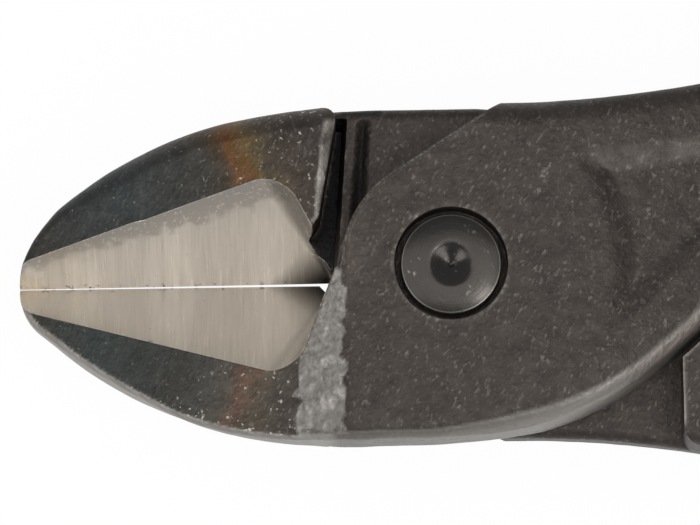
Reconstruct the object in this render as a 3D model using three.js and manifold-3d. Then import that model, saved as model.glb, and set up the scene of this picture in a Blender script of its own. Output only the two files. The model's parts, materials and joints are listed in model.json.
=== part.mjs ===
// Insulated side cutters, closed and lying flat. Millimetres, +Z up.
// While being built the pivot axis is the Z axis, the jaws point to -X and z = 0 is the plane between
// the two joint cheeks. At the end the whole tool is moved so that its box stands on z = 0.
import * as THREE from 'three';
import { mergeVertices } from 'three/addons/utils/BufferGeometryUtils.js';
import Module from 'manifold-3d';

const wasm = await Module();
wasm.setup();

// Whole tool
const OVERALL_LENGTH = 160;
const REST_THICKNESS = 19.4; // over the finger guards and the flared grip ends, which it lies on
const REST_CUT = 0.5; // how much these are cut flat to lie on

// Head
const TIP_REACH = 26.6; // pivot axis to the nose of the jaws
const HEAD_WIDTH = 20.6;
const HEAD_THICKNESS = 10.5;
const LAP_GAP = 0.2; // between the two cheeks
const EDGE_ROUND = 0.9; // rounding of the forged outer edges
const OPENING_ANGLE = 45;

// Jaws
const NOSE_WIDTH = 6;
const NOSE_CROWN = 1.3; // how far the nose bulges
const JAW_STRAIGHT = 1.9; // parallel part of the jaw's side, ahead of the shoulder
const EDGE_LEVEL = -4.1; // cutting edges, from the lap plane
const EDGE_GAP_NOSE = 0.04;
const EDGE_GAP_ROOT = 0.2;
const FACET_ANGLE = 47; // ground facets on the front
const BACK_FACET_ANGLE = 24; // ground facets on the back
const NOSE_RISE = 1.5; // front face above the edges at the nose
const FRONT_SLOPE = 17.6; // rise of the front face towards the joint
const VALLEY_END = 8.1; // pivot axis to the end of the ground valley
const VALLEY_WIDTH = 11.8; // at its wide end
const VALLEY_CORNER = 3.5;
const NOTCH_WIDTH = 0.9; // relief notch at the root of the edges
const NOTCH_DEPTH = 0.4;

// Joint
const CHEEK_RADIUS = 6.5;
const STOP_EDGE_ANGLE = 34; // direction of the cheek's straight edge
const SHOULDER_RELIEF = 2; // room between the cheek and the shoulder of the other jaw
const CHEEK_TOP_STEP = 0.7; // the cheek's upper corner below the side of the head
const RAMP_FROM = 6.6; // pivot axis to the foot of the cheek's face
const RAMP_ANGLE = 41;
const SWING_CLEARANCE = 0.4;

// Pivot rivet
const RIVET_HEAD_DIAMETER = 6;
const RIVET_HEAD_HEIGHT = 2;
const RIVET_SHANK_DIAMETER = 4.6;
const RIVET_TAIL_DIAMETER = 6;
const RIVET_TAIL_HEIGHT = 1.4;
const RIVET_CHAMFER = 0.25;
const RIVET_RECESS = 0.1; // below the face of the cheek
const RIVET_DIMPLE_DIAMETER = 2.8;
const RIVET_DIMPLE_DEPTH = 0.6;
const RIVET_RING_GAP = 0.45; // groove round the head
const RIVET_CLEARANCE = 0.08;

// Tangs
const HEAD_SIDE_END = 1.7; // pivot axis to where the straight side of the head ends
const HEEL_REACH = 11; // fullness of the curve from that side towards the handle
const CROTCH_REACH = 9.6; // fullness of the same curve at the handle
const CROTCH_ANGLE = 31;
const FLANK_REACH = 7; // fullness of the outer curve
const TANG_ROOT_WIDTH = 9; // where it enters the insulation
const TANG_WIDTH = 6.6;
const TANG_TAIL_WIDTH = 5.2;
const TANG_THICKNESS = 6.6;
const TANG_TAPER = 16; // length over which the root narrows
const TANG_STEP = 14; // pivot axis to where the tang takes its own thickness
const TANG_TAIL_GAP = 6; // from the tail of the tang to the end of the grip
const HEEL_FROM = 13; // pivot axis to where the cheek's face starts to fall
const HEEL_ANGLE = 20;
const BOSS_RADIUS = 10; // round raised face about the pivot, where the recess along the tang begins
const WEB_RIM = 3.2; // rim on both sides of that recess
const WEB_DEPTH = 0.8;

// Insulation
const GRIP_START = 24; // pivot axis to the front of the insulation
const NECK_OFFSET = 8.8; // middle of the handle from the tool's axis at the front
const TAIL_OFFSET = 13.4; // and at the end
const BOW_OFFSET = 20; // pull of the handle's curve between them
const TANG_CLEARANCE = 0.3;
const SLEEVE_WALL = 1.1;
const SLEEVE_LIP = 1.6; // under-sleeve in front of the shell
const SLEEVE_TAIL_GAP = 3.5;
const SHELL_CLEARANCE = 0.2;
const SECTION_POWER = 0.72; // of the shell: 1 is an ellipse, smaller is squarer
const SLEEVE_POWER = 0.5;
const SHELL_SIDES = 20;
const SLEEVE_SIDES = 16;
const SLEEVE_PITCH = 9; // between the rings of the under-sleeve

// Grip shell, measured from its middle line: outwards, inwards and up
const NECK_OUT = 7.5;
const NECK_IN = 7.2;
const NECK_HALF = 6.8;
const GUARD_AT = 13; // front of the insulation to the crest of the guard
const GUARD_CREST = 2;
const GUARD_FLANK = 5.5;
const GUARD_OUT = 12.2;
const GUARD_IN = 8.2;
const THUMB_OUT = 7.4;
const THUMB_IN = 7.2;
const THUMB_HALF = 7.6;
const PALM_AT = 52;
const PALM_OUT = 8;
const PALM_IN = 7.6;
const PALM_HALF = 8.6;
const TAIL_FROM_END = 20;
const TAIL_OUT = 7;
const TAIL_IN = 6.8;
const TAIL_HALF = 7.9;
const FLARE_FROM_END = 9;
const FLARE_OUT = 7.9;
const FLARE_IN = 7.2;
const END_ROUND = 5;
const END_CLOSE = 0.98; // share of the rounding that is modelled before the flat end

// Soft pads
const PAD_DEPTH = 1.2;
const PAD_PROUD = 0.3;
const PAD_CLEARANCE = 0.2;
const PAD_ROWS = 8;
const PAD_COLUMNS = 4;
const PAD_END_TAPER = 0.35;
const PAD_END_POWER = 6;
const PALM_PAD_FROM_GUARD = 14;
const PALM_PAD_FROM_END = 21;
const PALM_PAD_SPREAD = 48;
const FINGER_PAD_FROM_GUARD = 12;
const FINGER_PAD_FROM_END = 23;
const FINGER_PAD_SPREAD = 44;
const THUMB_PAD_FROM_GUARD = 9;
const THUMB_PAD_LENGTH = 28;
const THUMB_PAD_SPREAD = 32;

const STEEL = { color: 0x4b4642, roughness: 0.55, metalness: 0.8 };
const RIVET_STEEL = { color: 0x55504b, roughness: 0.4, metalness: 0.85 };
const SLEEVE_PLASTIC = { color: 0xe8b400, roughness: 0.5, metalness: 0 };
const SHELL_PLASTIC = { color: 0xc01a16, roughness: 0.38, metalness: 0 };
const PAD_RUBBER = { color: 0xe8b400, roughness: 0.75, metalness: 0 };

const MERGE = 1e-4;
const FAR = 400; // larger than the tool, for cutting blocks
const GROWN_RIM = 0.01;
const ROUND_STEPS = 32; // sides of the rivet and its seats
const CURVE_STEPS = 14;
const ROUND_SEGMENTS = 2; // of the rounded forged edges

const rad = THREE.MathUtils.degToRad;
const halfWidth = HEAD_WIDTH / 2;
const halfThickness = HEAD_THICKNESS / 2;
const at = (x, y) => new THREE.Vector2(x, y);

function bodyOf(geometry) {
  const bare = geometry.clone();
  bare.deleteAttribute('normal');
  bare.deleteAttribute('uv');
  const merged = mergeVertices(bare, MERGE);
  const corners = merged.index.array;
  const kept = [];
  for (let i = 0; i < corners.length; i += 3) {
    const [a, b, c] = corners.slice(i, i + 3);
    if (a !== b && b !== c && c !== a) kept.push(a, b, c);
  }
  return new wasm.Manifold(new wasm.Mesh({
    numProp: 3,
    vertProperties: new Float32Array(merged.attributes.position.array),
    triVerts: new Uint32Array(kept),
  }));
}

function meshOf(name, body, finish) {
  const { vertProperties, triVerts } = body.getMesh();
  const geometry = new THREE.BufferGeometry();
  geometry.setAttribute('position', new THREE.BufferAttribute(new Float32Array(vertProperties), 3));
  geometry.setIndex(new THREE.BufferAttribute(new Uint32Array(triVerts), 1));
  geometry.computeVertexNormals();
  const mesh = new THREE.Mesh(geometry, new THREE.MeshStandardMaterial(finish));
  mesh.name = name;
  return mesh;
}

function prism(points, low, high, round = 0) {
  const geometry = new THREE.ExtrudeGeometry(new THREE.Shape(points), {
    depth: high - low - 2 * round,
    bevelEnabled: round > 0,
    bevelThickness: round,
    bevelSize: round,
    bevelOffset: -round,
    bevelSegments: ROUND_SEGMENTS,
  });
  return bodyOf(geometry.translate(0, 0, low + round));
}

// A prism whose outline is moved outwards by the given distance.
function grownPrism(points, low, high, growth) {
  const geometry = new THREE.ExtrudeGeometry(new THREE.Shape(points), {
    depth: high - low,
    bevelThickness: GROWN_RIM,
    bevelSize: growth,
    bevelSegments: 1,
  });
  return bodyOf(geometry.translate(0, 0, low));
}

// Everything on the far side of a plane through the point.
function beyond(point, normal) {
  const block = new THREE.BoxGeometry(FAR, FAR, FAR).translate(0, 0, FAR / 2);
  const up = new THREE.Vector3(0, 0, 1);
  const turn = new THREE.Quaternion().setFromUnitVectors(up, normal.clone().normalize());
  return bodyOf(block.applyQuaternion(turn).translate(point.x, point.y, point.z));
}

// A turned piece about the Z axis, from points of radius and height going up.
function turned(points) {
  const profile = points.map(([radius, height]) => at(radius, height));
  return bodyOf(new THREE.LatheGeometry(profile, ROUND_STEPS).rotateX(Math.PI / 2));
}

function arc(centre, radius, fromAngle, toAngle, steps) {
  const points = [];
  for (let i = 0; i <= steps; i += 1) {
    const angle = fromAngle + ((toAngle - fromAngle) * i) / steps;
    points.push(at(centre.x + radius * Math.cos(angle), centre.y + radius * Math.sin(angle)));
  }
  return points;
}

// Handle line: from the front of the insulation to the end of the grip
const gripEnd = OVERALL_LENGTH - TIP_REACH;
const third = (gripEnd - GRIP_START) / 3;
const handleLine = new THREE.CubicBezierCurve(
  at(GRIP_START, NECK_OFFSET),
  at(GRIP_START + third, BOW_OFFSET),
  at(gripEnd - third, BOW_OFFSET),
  at(gripEnd, TAIL_OFFSET),
);
const gripLength = handleLine.getLength();

function handleFrame(distance) {
  const share = THREE.MathUtils.clamp(distance / gripLength, 0, 1);
  const middle = handleLine.getPointAt(share);
  const along = handleLine.getTangentAt(share);
  return { middle, along, out: at(-along.y, along.x) };
}

function tangHalf(distance) {
  const neck = THREE.MathUtils.smoothstep(distance, 0, TANG_TAPER);
  const tail = distance / gripLength;
  const slender = THREE.MathUtils.lerp(TANG_WIDTH, TANG_TAIL_WIDTH, tail);
  return THREE.MathUtils.lerp(TANG_ROOT_WIDTH, slender, neck) / 2;
}

const tangLength = gripLength - TANG_TAIL_GAP;

// One edge of the tang inside the insulation, moved outwards by the given amount
function tangEdge(side, growth, reach) {
  const points = [];
  for (let i = 0; i <= CURVE_STEPS; i += 1) {
    const distance = (reach * i) / CURVE_STEPS;
    const { middle, out } = handleFrame(distance);
    points.push(middle.clone().addScaledVector(out, side * (tangHalf(distance) + growth)));
  }
  return points;
}

// Shoulder of a jaw: it stands parallel to the stop edge of the other lever when the jaws are wide open
const shoulderAngle = rad(STOP_EDGE_ANGLE + OPENING_ANGLE);
const shoulderReach = CHEEK_RADIUS + SHOULDER_RELIEF;
const shoulderX = (height) => height / Math.tan(shoulderAngle) - shoulderReach / Math.sin(shoulderAngle);

// Cutting edge, from the nose to the joint
function edgeAt(x) {
  const gap = THREE.MathUtils.mapLinear(x, -TIP_REACH, -CHEEK_RADIUS, EDGE_GAP_NOSE, EDGE_GAP_ROOT);
  return at(x, -gap / 2);
}

// Outer side and nose of the lower jaw
function jawSide() {
  const wide = at(shoulderX(halfWidth) - JAW_STRAIGHT, -halfWidth);
  const noseCorner = at(NOSE_CROWN - TIP_REACH, -NOSE_WIDTH / 2);
  const run = wide.x - noseCorner.x;
  const drop = noseCorner.y - wide.y;
  const sideRadius = (run * run + drop * drop) / (2 * drop);
  const noseRadius = (NOSE_CROWN * NOSE_CROWN + (NOSE_WIDTH * NOSE_WIDTH) / 4) / (2 * NOSE_CROWN);
  const sideCentre = at(wide.x, wide.y + sideRadius);
  const noseCentre = at(noseRadius - TIP_REACH, 0);
  const sideSweep = Math.asin(run / sideRadius);
  const noseSweep = Math.asin(NOSE_WIDTH / 2 / noseRadius);
  const noseGap = Math.asin(EDGE_GAP_NOSE / 2 / noseRadius);
  return [
    ...arc(sideCentre, sideRadius, -Math.PI / 2, -Math.PI / 2 - sideSweep, CURVE_STEPS),
    ...arc(noseCentre, noseRadius, Math.PI + noseSweep, Math.PI + noseGap, CURVE_STEPS / 2).slice(1),
  ];
}

// The shoulder turns straight to the cutting edge where the ground valley ends.
function jawOutline() {
  const root = Math.max(shoulderX(0), -VALLEY_END);
  const turn = (root * Math.sin(shoulderAngle) + shoulderReach) / Math.cos(shoulderAngle);
  return [edgeAt(root), at(root, -turn), at(shoulderX(halfWidth), -halfWidth), ...jawSide()];
}

// Stop edge of the cheek: from the round of the cheek up to its corner
const stopAngle = rad(STOP_EDGE_ANGLE);
const stopFoot = at(-CHEEK_RADIUS * Math.sin(stopAngle), CHEEK_RADIUS * Math.cos(stopAngle));
const stopHeight = halfWidth - CHEEK_TOP_STEP;
const stopCorner = at(stopFoot.x + (stopHeight - stopFoot.y) / Math.tan(stopAngle), stopHeight);

// Outer side of the lever, from the corner of the stop edge to the insulation
const tangOuter = tangEdge(1, 0, tangLength);
const flank = new THREE.CubicBezierCurve(
  stopCorner,
  at(stopCorner.x + FLANK_REACH, stopCorner.y),
  tangOuter[0].clone().addScaledVector(handleFrame(0).along, -FLANK_REACH),
  tangOuter[0],
);

// Inner side, from the insulation to the side of the lower jaw
const tangInner = tangEdge(-1, 0, tangLength);
const crotchAngle = rad(CROTCH_ANGLE);
const crotchPull = at(-Math.cos(crotchAngle), -Math.sin(crotchAngle));
const heel = new THREE.CubicBezierCurve(
  tangInner[0],
  tangInner[0].clone().addScaledVector(crotchPull, CROTCH_REACH),
  at(HEAD_SIDE_END + HEEL_REACH, -halfWidth),
  at(HEAD_SIDE_END, -halfWidth),
);

// From the corner of the stop edge round the tang to the side of the lower jaw
function handleSide() {
  return [
    ...flank.getPoints(CURVE_STEPS / 2),
    ...tangOuter.slice(1),
    ...tangInner.slice().reverse(),
    ...heel.getPoints(CURVE_STEPS).slice(1),
  ];
}

// Jaw, cheek and tang of the lever whose handle lies at +Y
function leverOutline() {
  const round = arc(at(0, 0), CHEEK_RADIUS, Math.PI, stopAngle + Math.PI / 2, CURVE_STEPS / 2);
  return [...round, ...handleSide(), ...jawSide(), edgeAt(-CHEEK_RADIUS)];
}

// The same with the other jaw filled in, so that only the forged outer edges lie on it
function forgedOutline() {
  const otherJaw = jawSide().map((point) => at(point.x, -point.y)).reverse();
  return [...handleSide(), ...jawSide(), ...otherJaw.slice(1)];
}

// V-shaped groove along the cutting edges at the given level, opening upwards or downwards
function valley(angle, level, opens) {
  const reach = FAR / 4;
  const rise = reach * Math.tan(rad(angle));
  const section = new THREE.Shape([at(0, 0), at(reach, rise), at(-reach, rise)]);
  const wedge = new THREE.ExtrudeGeometry(section, { depth: FAR, bevelEnabled: false });
  wedge.rotateX(Math.PI / 2).rotateZ(Math.PI / 2).translate(-FAR, 0, 0);
  if (opens < 0) wedge.rotateX(Math.PI);
  const half = VALLEY_WIDTH / 2;
  const corner = at(-VALLEY_END - VALLEY_CORNER, half - VALLEY_CORNER);
  const upper = arc(corner, VALLEY_CORNER, Math.PI / 2, 0, CURVE_STEPS / 2);
  const lower = upper.map((point) => at(point.x, -point.y)).reverse();
  const plan = prism([at(-FAR, half), ...upper, ...lower, at(-FAR, -half)], -FAR, FAR);
  return bodyOf(wedge.translate(0, 0, level)).intersect(plan);
}

// Relief notch at the root of the cutting edge
function notch() {
  const root = -VALLEY_END;
  const tip = at(root + NOTCH_WIDTH / 2, -NOTCH_DEPTH);
  return prism([at(root, NOTCH_DEPTH), tip, at(root + NOTCH_WIDTH, NOTCH_DEPTH)], -FAR, FAR);
}

// Points along a curve, moved to its right
function besideCurve(curve, distance) {
  return Array.from({ length: CURVE_STEPS + 1 }, (_, i) => {
    const along = curve.getTangent(i / CURVE_STEPS);
    return curve.getPoint(i / CURVE_STEPS).add(at(along.y * distance, -along.x * distance));
  });
}

// Everything above the face of the cheek, which falls towards the insulation
function aboveCheek(level) {
  const heelAngle = rad(HEEL_ANGLE);
  const falling = new THREE.Vector3(Math.sin(heelAngle), 0, Math.cos(heelAngle));
  return beyond(new THREE.Vector3(HEEL_FROM, 0, level), falling)
    .add(beyond(new THREE.Vector3(0, 0, level), new THREE.Vector3(0, 0, 1)));
}

// Shallow recess along the tang, from the boss to the insulation
function web() {
  const boss = turned([[0, -FAR], [BOSS_RADIUS, -FAR], [BOSS_RADIUS, FAR], [0, FAR]]);
  return prism([...besideCurve(flank, WEB_RIM), ...besideCurve(heel, WEB_RIM)], -FAR, FAR)
    .intersect(aboveCheek(halfThickness - WEB_DEPTH))
    .subtract(boss);
}

// The lever with its handle at +Y and its cheek at +Z. The sloping face of its jaw looks to +Z or -Z.
function leverBody(facing, seat) {
  const outline = leverOutline();
  const otherOutline = outline.map((point) => at(point.x, -point.y));
  const lapFace = LAP_GAP / 2;
  const edgeLevel = facing * EDGE_LEVEL;
  const up = new THREE.Vector3(0, 0, 1);
  const slope = rad(FRONT_SLOPE);
  const ramp = rad(RAMP_ANGLE);
  const nosePoint = new THREE.Vector3(-TIP_REACH, 0, edgeLevel + facing * NOSE_RISE);
  const rampPoint = new THREE.Vector3(-RAMP_FROM, 0, facing * halfThickness);
  const aboveFace = beyond(nosePoint, new THREE.Vector3(-Math.sin(slope), 0, facing * Math.cos(slope)));
  const aboveRamp = beyond(rampPoint, new THREE.Vector3(-Math.sin(ramp), 0, facing * Math.cos(ramp)));
  const belowLap = beyond(new THREE.Vector3(0, 0, lapFace), up.clone().negate());
  const aheadOfTang = beyond(new THREE.Vector3(TANG_STEP, 0, 0), new THREE.Vector3(-1, 0, 0));

  const cheek = prism(outline, -halfThickness, halfThickness)
    .subtract(belowLap)
    .subtract(aboveCheek(halfThickness))
    .subtract(web());
  const jaw = prism(jawOutline(), -halfThickness, halfThickness);
  const forging = forgedOutline();
  const tang = prism(forging, -TANG_THICKNESS / 2, TANG_THICKNESS / 2, EDGE_ROUND)
    .subtract(aheadOfTang)
    .subtract(grownPrism(otherOutline, -FAR, lapFace, SWING_CLEARANCE));
  return cheek
    .add(jaw)
    .intersect(prism(forging, -halfThickness, halfThickness, EDGE_ROUND))
    .subtract(facing > 0 ? aboveFace.intersect(aboveRamp) : aboveFace)
    .add(tang)
    .subtract(valley(FACET_ANGLE, edgeLevel, facing))
    .subtract(valley(BACK_FACET_ANGLE, edgeLevel, -facing))
    .subtract(notch())
    .subtract(seat);
}

// Rivet: dimpled head at +Z, flared tail at -Z
const rivetTop = halfThickness - RIVET_RECESS;
const rivetHead = RIVET_HEAD_DIAMETER / 2;
const rivetShank = RIVET_SHANK_DIAMETER / 2;
const rivetTail = RIVET_TAIL_DIAMETER / 2;

function rivetBody() {
  return turned([
    [0, -rivetTop],
    [rivetTail, -rivetTop],
    [rivetShank, RIVET_TAIL_HEIGHT - rivetTop],
    [rivetShank, rivetTop - RIVET_HEAD_HEIGHT],
    [rivetHead, rivetTop - RIVET_HEAD_HEIGHT],
    [rivetHead, rivetTop - RIVET_CHAMFER],
    [rivetHead - RIVET_CHAMFER, rivetTop],
    [RIVET_DIMPLE_DIAMETER / 2, rivetTop],
    [0, rivetTop - RIVET_DIMPLE_DEPTH],
  ]);
}

// Both seats are cut with the cheek at +Z.
function headSeat() {
  const bore = rivetShank + RIVET_CLEARANCE;
  const ring = rivetHead + RIVET_RING_GAP;
  const floor = rivetTop - RIVET_HEAD_HEIGHT - RIVET_CLEARANCE;
  return turned([[0, -FAR], [bore, -FAR], [bore, floor], [ring, floor], [ring, FAR], [0, FAR]]);
}

function tailSeat() {
  const bore = rivetShank + RIVET_CLEARANCE;
  const rim = rivetTail + RIVET_CLEARANCE;
  const floor = rivetTop - RIVET_TAIL_HEIGHT - RIVET_CLEARANCE;
  return turned([[0, -FAR], [bore, -FAR], [bore, floor], [rim, rivetTop], [rim, FAR], [0, FAR]]);
}

// Grip shell: sizes along the handle, each eased into the next, with the number of rings between them
const restHalf = REST_THICKNESS / 2 + REST_CUT;
const guardFront = GUARD_AT - GUARD_CREST / 2;
const guardBack = GUARD_AT + GUARD_CREST / 2;
const GRIP_STATIONS = [
  { at: SLEEVE_LIP, out: NECK_OUT, in: NECK_IN, half: NECK_HALF, rings: 2 },
  { at: guardFront - GUARD_FLANK, out: NECK_OUT, in: NECK_IN, half: NECK_HALF, rings: 4 },
  { at: guardFront, out: GUARD_OUT, in: GUARD_IN, half: restHalf, rings: 1 },
  { at: guardBack, out: GUARD_OUT, in: GUARD_IN, half: restHalf, rings: 4 },
  { at: guardBack + GUARD_FLANK, out: THUMB_OUT, in: THUMB_IN, half: THUMB_HALF, rings: 5 },
  { at: PALM_AT, out: PALM_OUT, in: PALM_IN, half: PALM_HALF, rings: 5 },
  { at: gripLength - TAIL_FROM_END, out: TAIL_OUT, in: TAIL_IN, half: TAIL_HALF, rings: 4 },
  { at: gripLength - FLARE_FROM_END, out: FLARE_OUT, in: FLARE_IN, half: restHalf, rings: 1 },
  { at: gripLength - END_ROUND, out: FLARE_OUT, in: FLARE_IN, half: restHalf, rings: 5 },
  { at: gripLength, out: FLARE_OUT, in: FLARE_IN, half: restHalf, rings: 0 },
];

function gripSize(distance, offset) {
  const last = GRIP_STATIONS.length - 1;
  const next = GRIP_STATIONS.findIndex((station, i) => i > 0 && (station.at >= distance || i === last));
  const a = GRIP_STATIONS[next - 1];
  const b = GRIP_STATIONS[next];
  const share = THREE.MathUtils.smoothstep(distance, a.at, b.at);
  const intoEnd = THREE.MathUtils.clamp((distance - gripLength + END_ROUND) / END_ROUND, 0, END_CLOSE);
  const close = Math.sqrt(1 - intoEnd * intoEnd);
  const size = (key) => THREE.MathUtils.lerp(a[key], b[key], share) * close + offset;
  return { out: size('out'), in: size('in'), half: size('half') };
}

function sleeveSize(distance, offset) {
  const side = tangHalf(distance) + TANG_CLEARANCE + SLEEVE_WALL + offset;
  return { out: side, in: side, half: TANG_THICKNESS / 2 + TANG_CLEARANCE + SLEEVE_WALL + offset };
}

function sectionPoint(distance, size, angle, power) {
  const { middle, out } = handleFrame(distance);
  const bulge = (value) => Math.sign(value) * Math.abs(value) ** power;
  const across = bulge(Math.cos(angle)) * (Math.cos(angle) > 0 ? size.out : size.in);
  const rest = REST_THICKNESS / 2;
  const up = THREE.MathUtils.clamp(bulge(Math.sin(angle)) * size.half, -rest, rest);
  return new THREE.Vector3(middle.x + out.x * across, middle.y + out.y * across, up);
}

function bodyFrom(points, faces) {
  const geometry = new THREE.BufferGeometry().setFromPoints(points);
  geometry.setIndex(faces.flat());
  return bodyOf(geometry);
}

// Closed skin over rings set along the handle
function loft(distances, sizeAt, sides, power) {
  const points = [];
  const faces = [];
  distances.forEach((distance) => {
    for (let j = 0; j < sides; j += 1) {
      points.push(sectionPoint(distance, sizeAt(distance), ((j + 0.5) / sides) * 2 * Math.PI, power));
    }
  });
  const last = (distances.length - 1) * sides;
  [distances[0], distances[distances.length - 1]].forEach((distance) => {
    const { middle } = handleFrame(distance);
    points.push(new THREE.Vector3(middle.x, middle.y, 0));
  });
  for (let j = 0; j < sides; j += 1) {
    const k = (j + 1) % sides;
    for (let row = 0; row < last; row += sides) {
      faces.push([row + j, row + k, row + sides + j], [row + k, row + sides + k, row + sides + j]);
    }
    faces.push([last + sides, k, j], [last + sides + 1, last + j, last + k]);
  }
  return bodyFrom(points, faces);
}

function shellRings() {
  const distances = [];
  GRIP_STATIONS.forEach((station, i) => {
    for (let ring = 0; ring < station.rings; ring += 1) {
      const share = ring / station.rings;
      distances.push(THREE.MathUtils.lerp(station.at, GRIP_STATIONS[i + 1].at, share));
    }
  });
  return [...distances, gripLength];
}

function sleeveRings(reach) {
  const count = Math.ceil(reach / SLEEVE_PITCH);
  return Array.from({ length: count + 1 }, (_, i) => (reach * i) / count);
}

const sleeveLength = gripLength - SLEEVE_TAIL_GAP;

function sleeveBody() {
  const reach = tangLength + TANG_CLEARANCE;
  const outer = tangEdge(1, TANG_CLEARANCE, reach);
  const inner = tangEdge(-1, TANG_CLEARANCE, reach);
  const { along } = handleFrame(0);
  const ahead = (point) => point.clone().addScaledVector(along, -SLEEVE_LIP);
  const half = TANG_THICKNESS / 2 + TANG_CLEARANCE;
  const mouth = [ahead(inner[0]), ahead(outer[0])];
  const bore = prism([...mouth, ...outer, ...inner.reverse()], -half, half);
  const rings = sleeveRings(sleeveLength);
  const skin = loft(rings, (distance) => sleeveSize(distance, 0), SLEEVE_SIDES, SLEEVE_POWER);
  return skin.subtract(bore);
}

// A patch of the grip's surface, from one depth to another, with drawn-in ends
function padBody(pad, growth, low, high) {
  const points = [];
  const faces = [];
  const stride = PAD_COLUMNS + 1;
  const count = (PAD_ROWS + 1) * stride;
  [high, low].forEach((offset) => {
    for (let i = 0; i <= PAD_ROWS; i += 1) {
      const distance = THREE.MathUtils.lerp(pad.from - growth, pad.to + growth, i / PAD_ROWS);
      const nearEnd = Math.abs((2 * i) / PAD_ROWS - 1);
      const taper = Math.max(PAD_END_TAPER, Math.sqrt(1 - nearEnd ** PAD_END_POWER));
      const spread = rad(pad.spread) * taper + growth / THUMB_OUT;
      for (let j = 0; j <= PAD_COLUMNS; j += 1) {
        const angle = rad(pad.angle) + spread * ((2 * j) / PAD_COLUMNS - 1);
        points.push(sectionPoint(distance, gripSize(distance, offset), angle, SECTION_POWER));
      }
    }
  });
  const index = (i, j) => i * stride + j;
  const wall = (a, b) => faces.push([b, a, a + count], [b, a + count, b + count]);
  for (let i = 0; i < PAD_ROWS; i += 1) {
    for (let j = 0; j < PAD_COLUMNS; j += 1) {
      const corners = [index(i, j), index(i, j + 1), index(i + 1, j + 1), index(i + 1, j)];
      const [a, b, c, d] = corners;
      faces.push([a, b, d], [b, c, d]);
      const [e, f, g, h] = corners.map((corner) => corner + count);
      faces.push([e, h, f], [f, h, g]);
    }
    wall(index(i, PAD_COLUMNS), index(i + 1, PAD_COLUMNS));
    wall(index(i + 1, 0), index(i, 0));
  }
  for (let j = 0; j < PAD_COLUMNS; j += 1) {
    wall(index(0, j), index(0, j + 1));
    wall(index(PAD_ROWS, j + 1), index(PAD_ROWS, j));
  }
  return bodyFrom(points, faces);
}

// Where each pad lies along the grip and round it
const palmPad = {
  from: GUARD_AT + PALM_PAD_FROM_GUARD,
  to: gripLength - PALM_PAD_FROM_END,
  angle: 0,
  spread: PALM_PAD_SPREAD,
};
const fingerPad = {
  from: GUARD_AT + FINGER_PAD_FROM_GUARD,
  to: gripLength - FINGER_PAD_FROM_END,
  angle: 180,
  spread: FINGER_PAD_SPREAD,
};
const thumbFrom = GUARD_AT + THUMB_PAD_FROM_GUARD;
const thumbTo = thumbFrom + THUMB_PAD_LENGTH;
const upperThumbPad = { from: thumbFrom, to: thumbTo, angle: 90, spread: THUMB_PAD_SPREAD };
const lowerThumbPad = { ...upperThumbPad, angle: -90 };
const pads = [palmPad, fingerPad, upperThumbPad, lowerThumbPad];

function shellBody() {
  const outside = loft(shellRings(), (distance) => gripSize(distance, 0), SHELL_SIDES, SECTION_POWER);
  const hollow = loft(
    sleeveRings(sleeveLength + SHELL_CLEARANCE),
    (distance) => sleeveSize(distance, SHELL_CLEARANCE),
    SLEEVE_SIDES,
    SLEEVE_POWER,
  );
  const depth = PAD_DEPTH + PAD_CLEARANCE;
  return pads.reduce(
    (shell, pad) => shell.subtract(padBody(pad, PAD_CLEARANCE, -depth, depth)),
    outside.subtract(hollow),
  );
}

const padMesh = (name, pad) => meshOf(name, padBody(pad, 0, -PAD_DEPTH, PAD_PROUD), PAD_RUBBER);

// One lever with its insulation. The rear half is the same arrangement turned over.
function halfTool(name, facing, seat) {
  const half = new THREE.Group();
  half.name = `${name}_half`;
  const grip = new THREE.Group();
  grip.name = `${name}_grip`;
  grip.add(
    meshOf(`${name}_under_sleeve`, sleeveBody(), SLEEVE_PLASTIC),
    meshOf(`${name}_grip_shell`, shellBody(), SHELL_PLASTIC),
    padMesh(`${name}_palm_pad`, palmPad),
    padMesh(`${name}_finger_pad`, fingerPad),
    padMesh(`${name}_upper_thumb_pad`, facing > 0 ? upperThumbPad : lowerThumbPad),
    padMesh(`${name}_lower_thumb_pad`, facing > 0 ? lowerThumbPad : upperThumbPad),
  );
  half.add(meshOf(`${name}_lever`, leverBody(facing, seat), STEEL), grip);
  return half;
}

const frontHalf = halfTool('front', 1, headSeat());
const rearHalf = halfTool('rear', -1, tailSeat());
rearHalf.rotation.x = Math.PI;

const sideCutters = new THREE.Group();
sideCutters.name = 'insulated_side_cutters';
sideCutters.add(frontHalf, rearHalf, meshOf('pivot_rivet', rivetBody(), RIVET_STEEL));
const box = new THREE.Box3().setFromObject(sideCutters, true);
sideCutters.position.set(-(box.min.x + box.max.x) / 2, -(box.min.y + box.max.y) / 2, -box.min.z);

export default sideCutters;
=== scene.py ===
"""Insulated side cutters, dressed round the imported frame.

Lengths are in metres. A lever is shaped with the pivot on the Z axis, its handle at +Y, its cheek at +Z and
the lap plane at z = 0, and is then put in its place. The rear lever is the same arrangement turned over.
"""
import json
import math

import bpy
import numpy as np
from mathutils import Matrix, Vector


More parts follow.
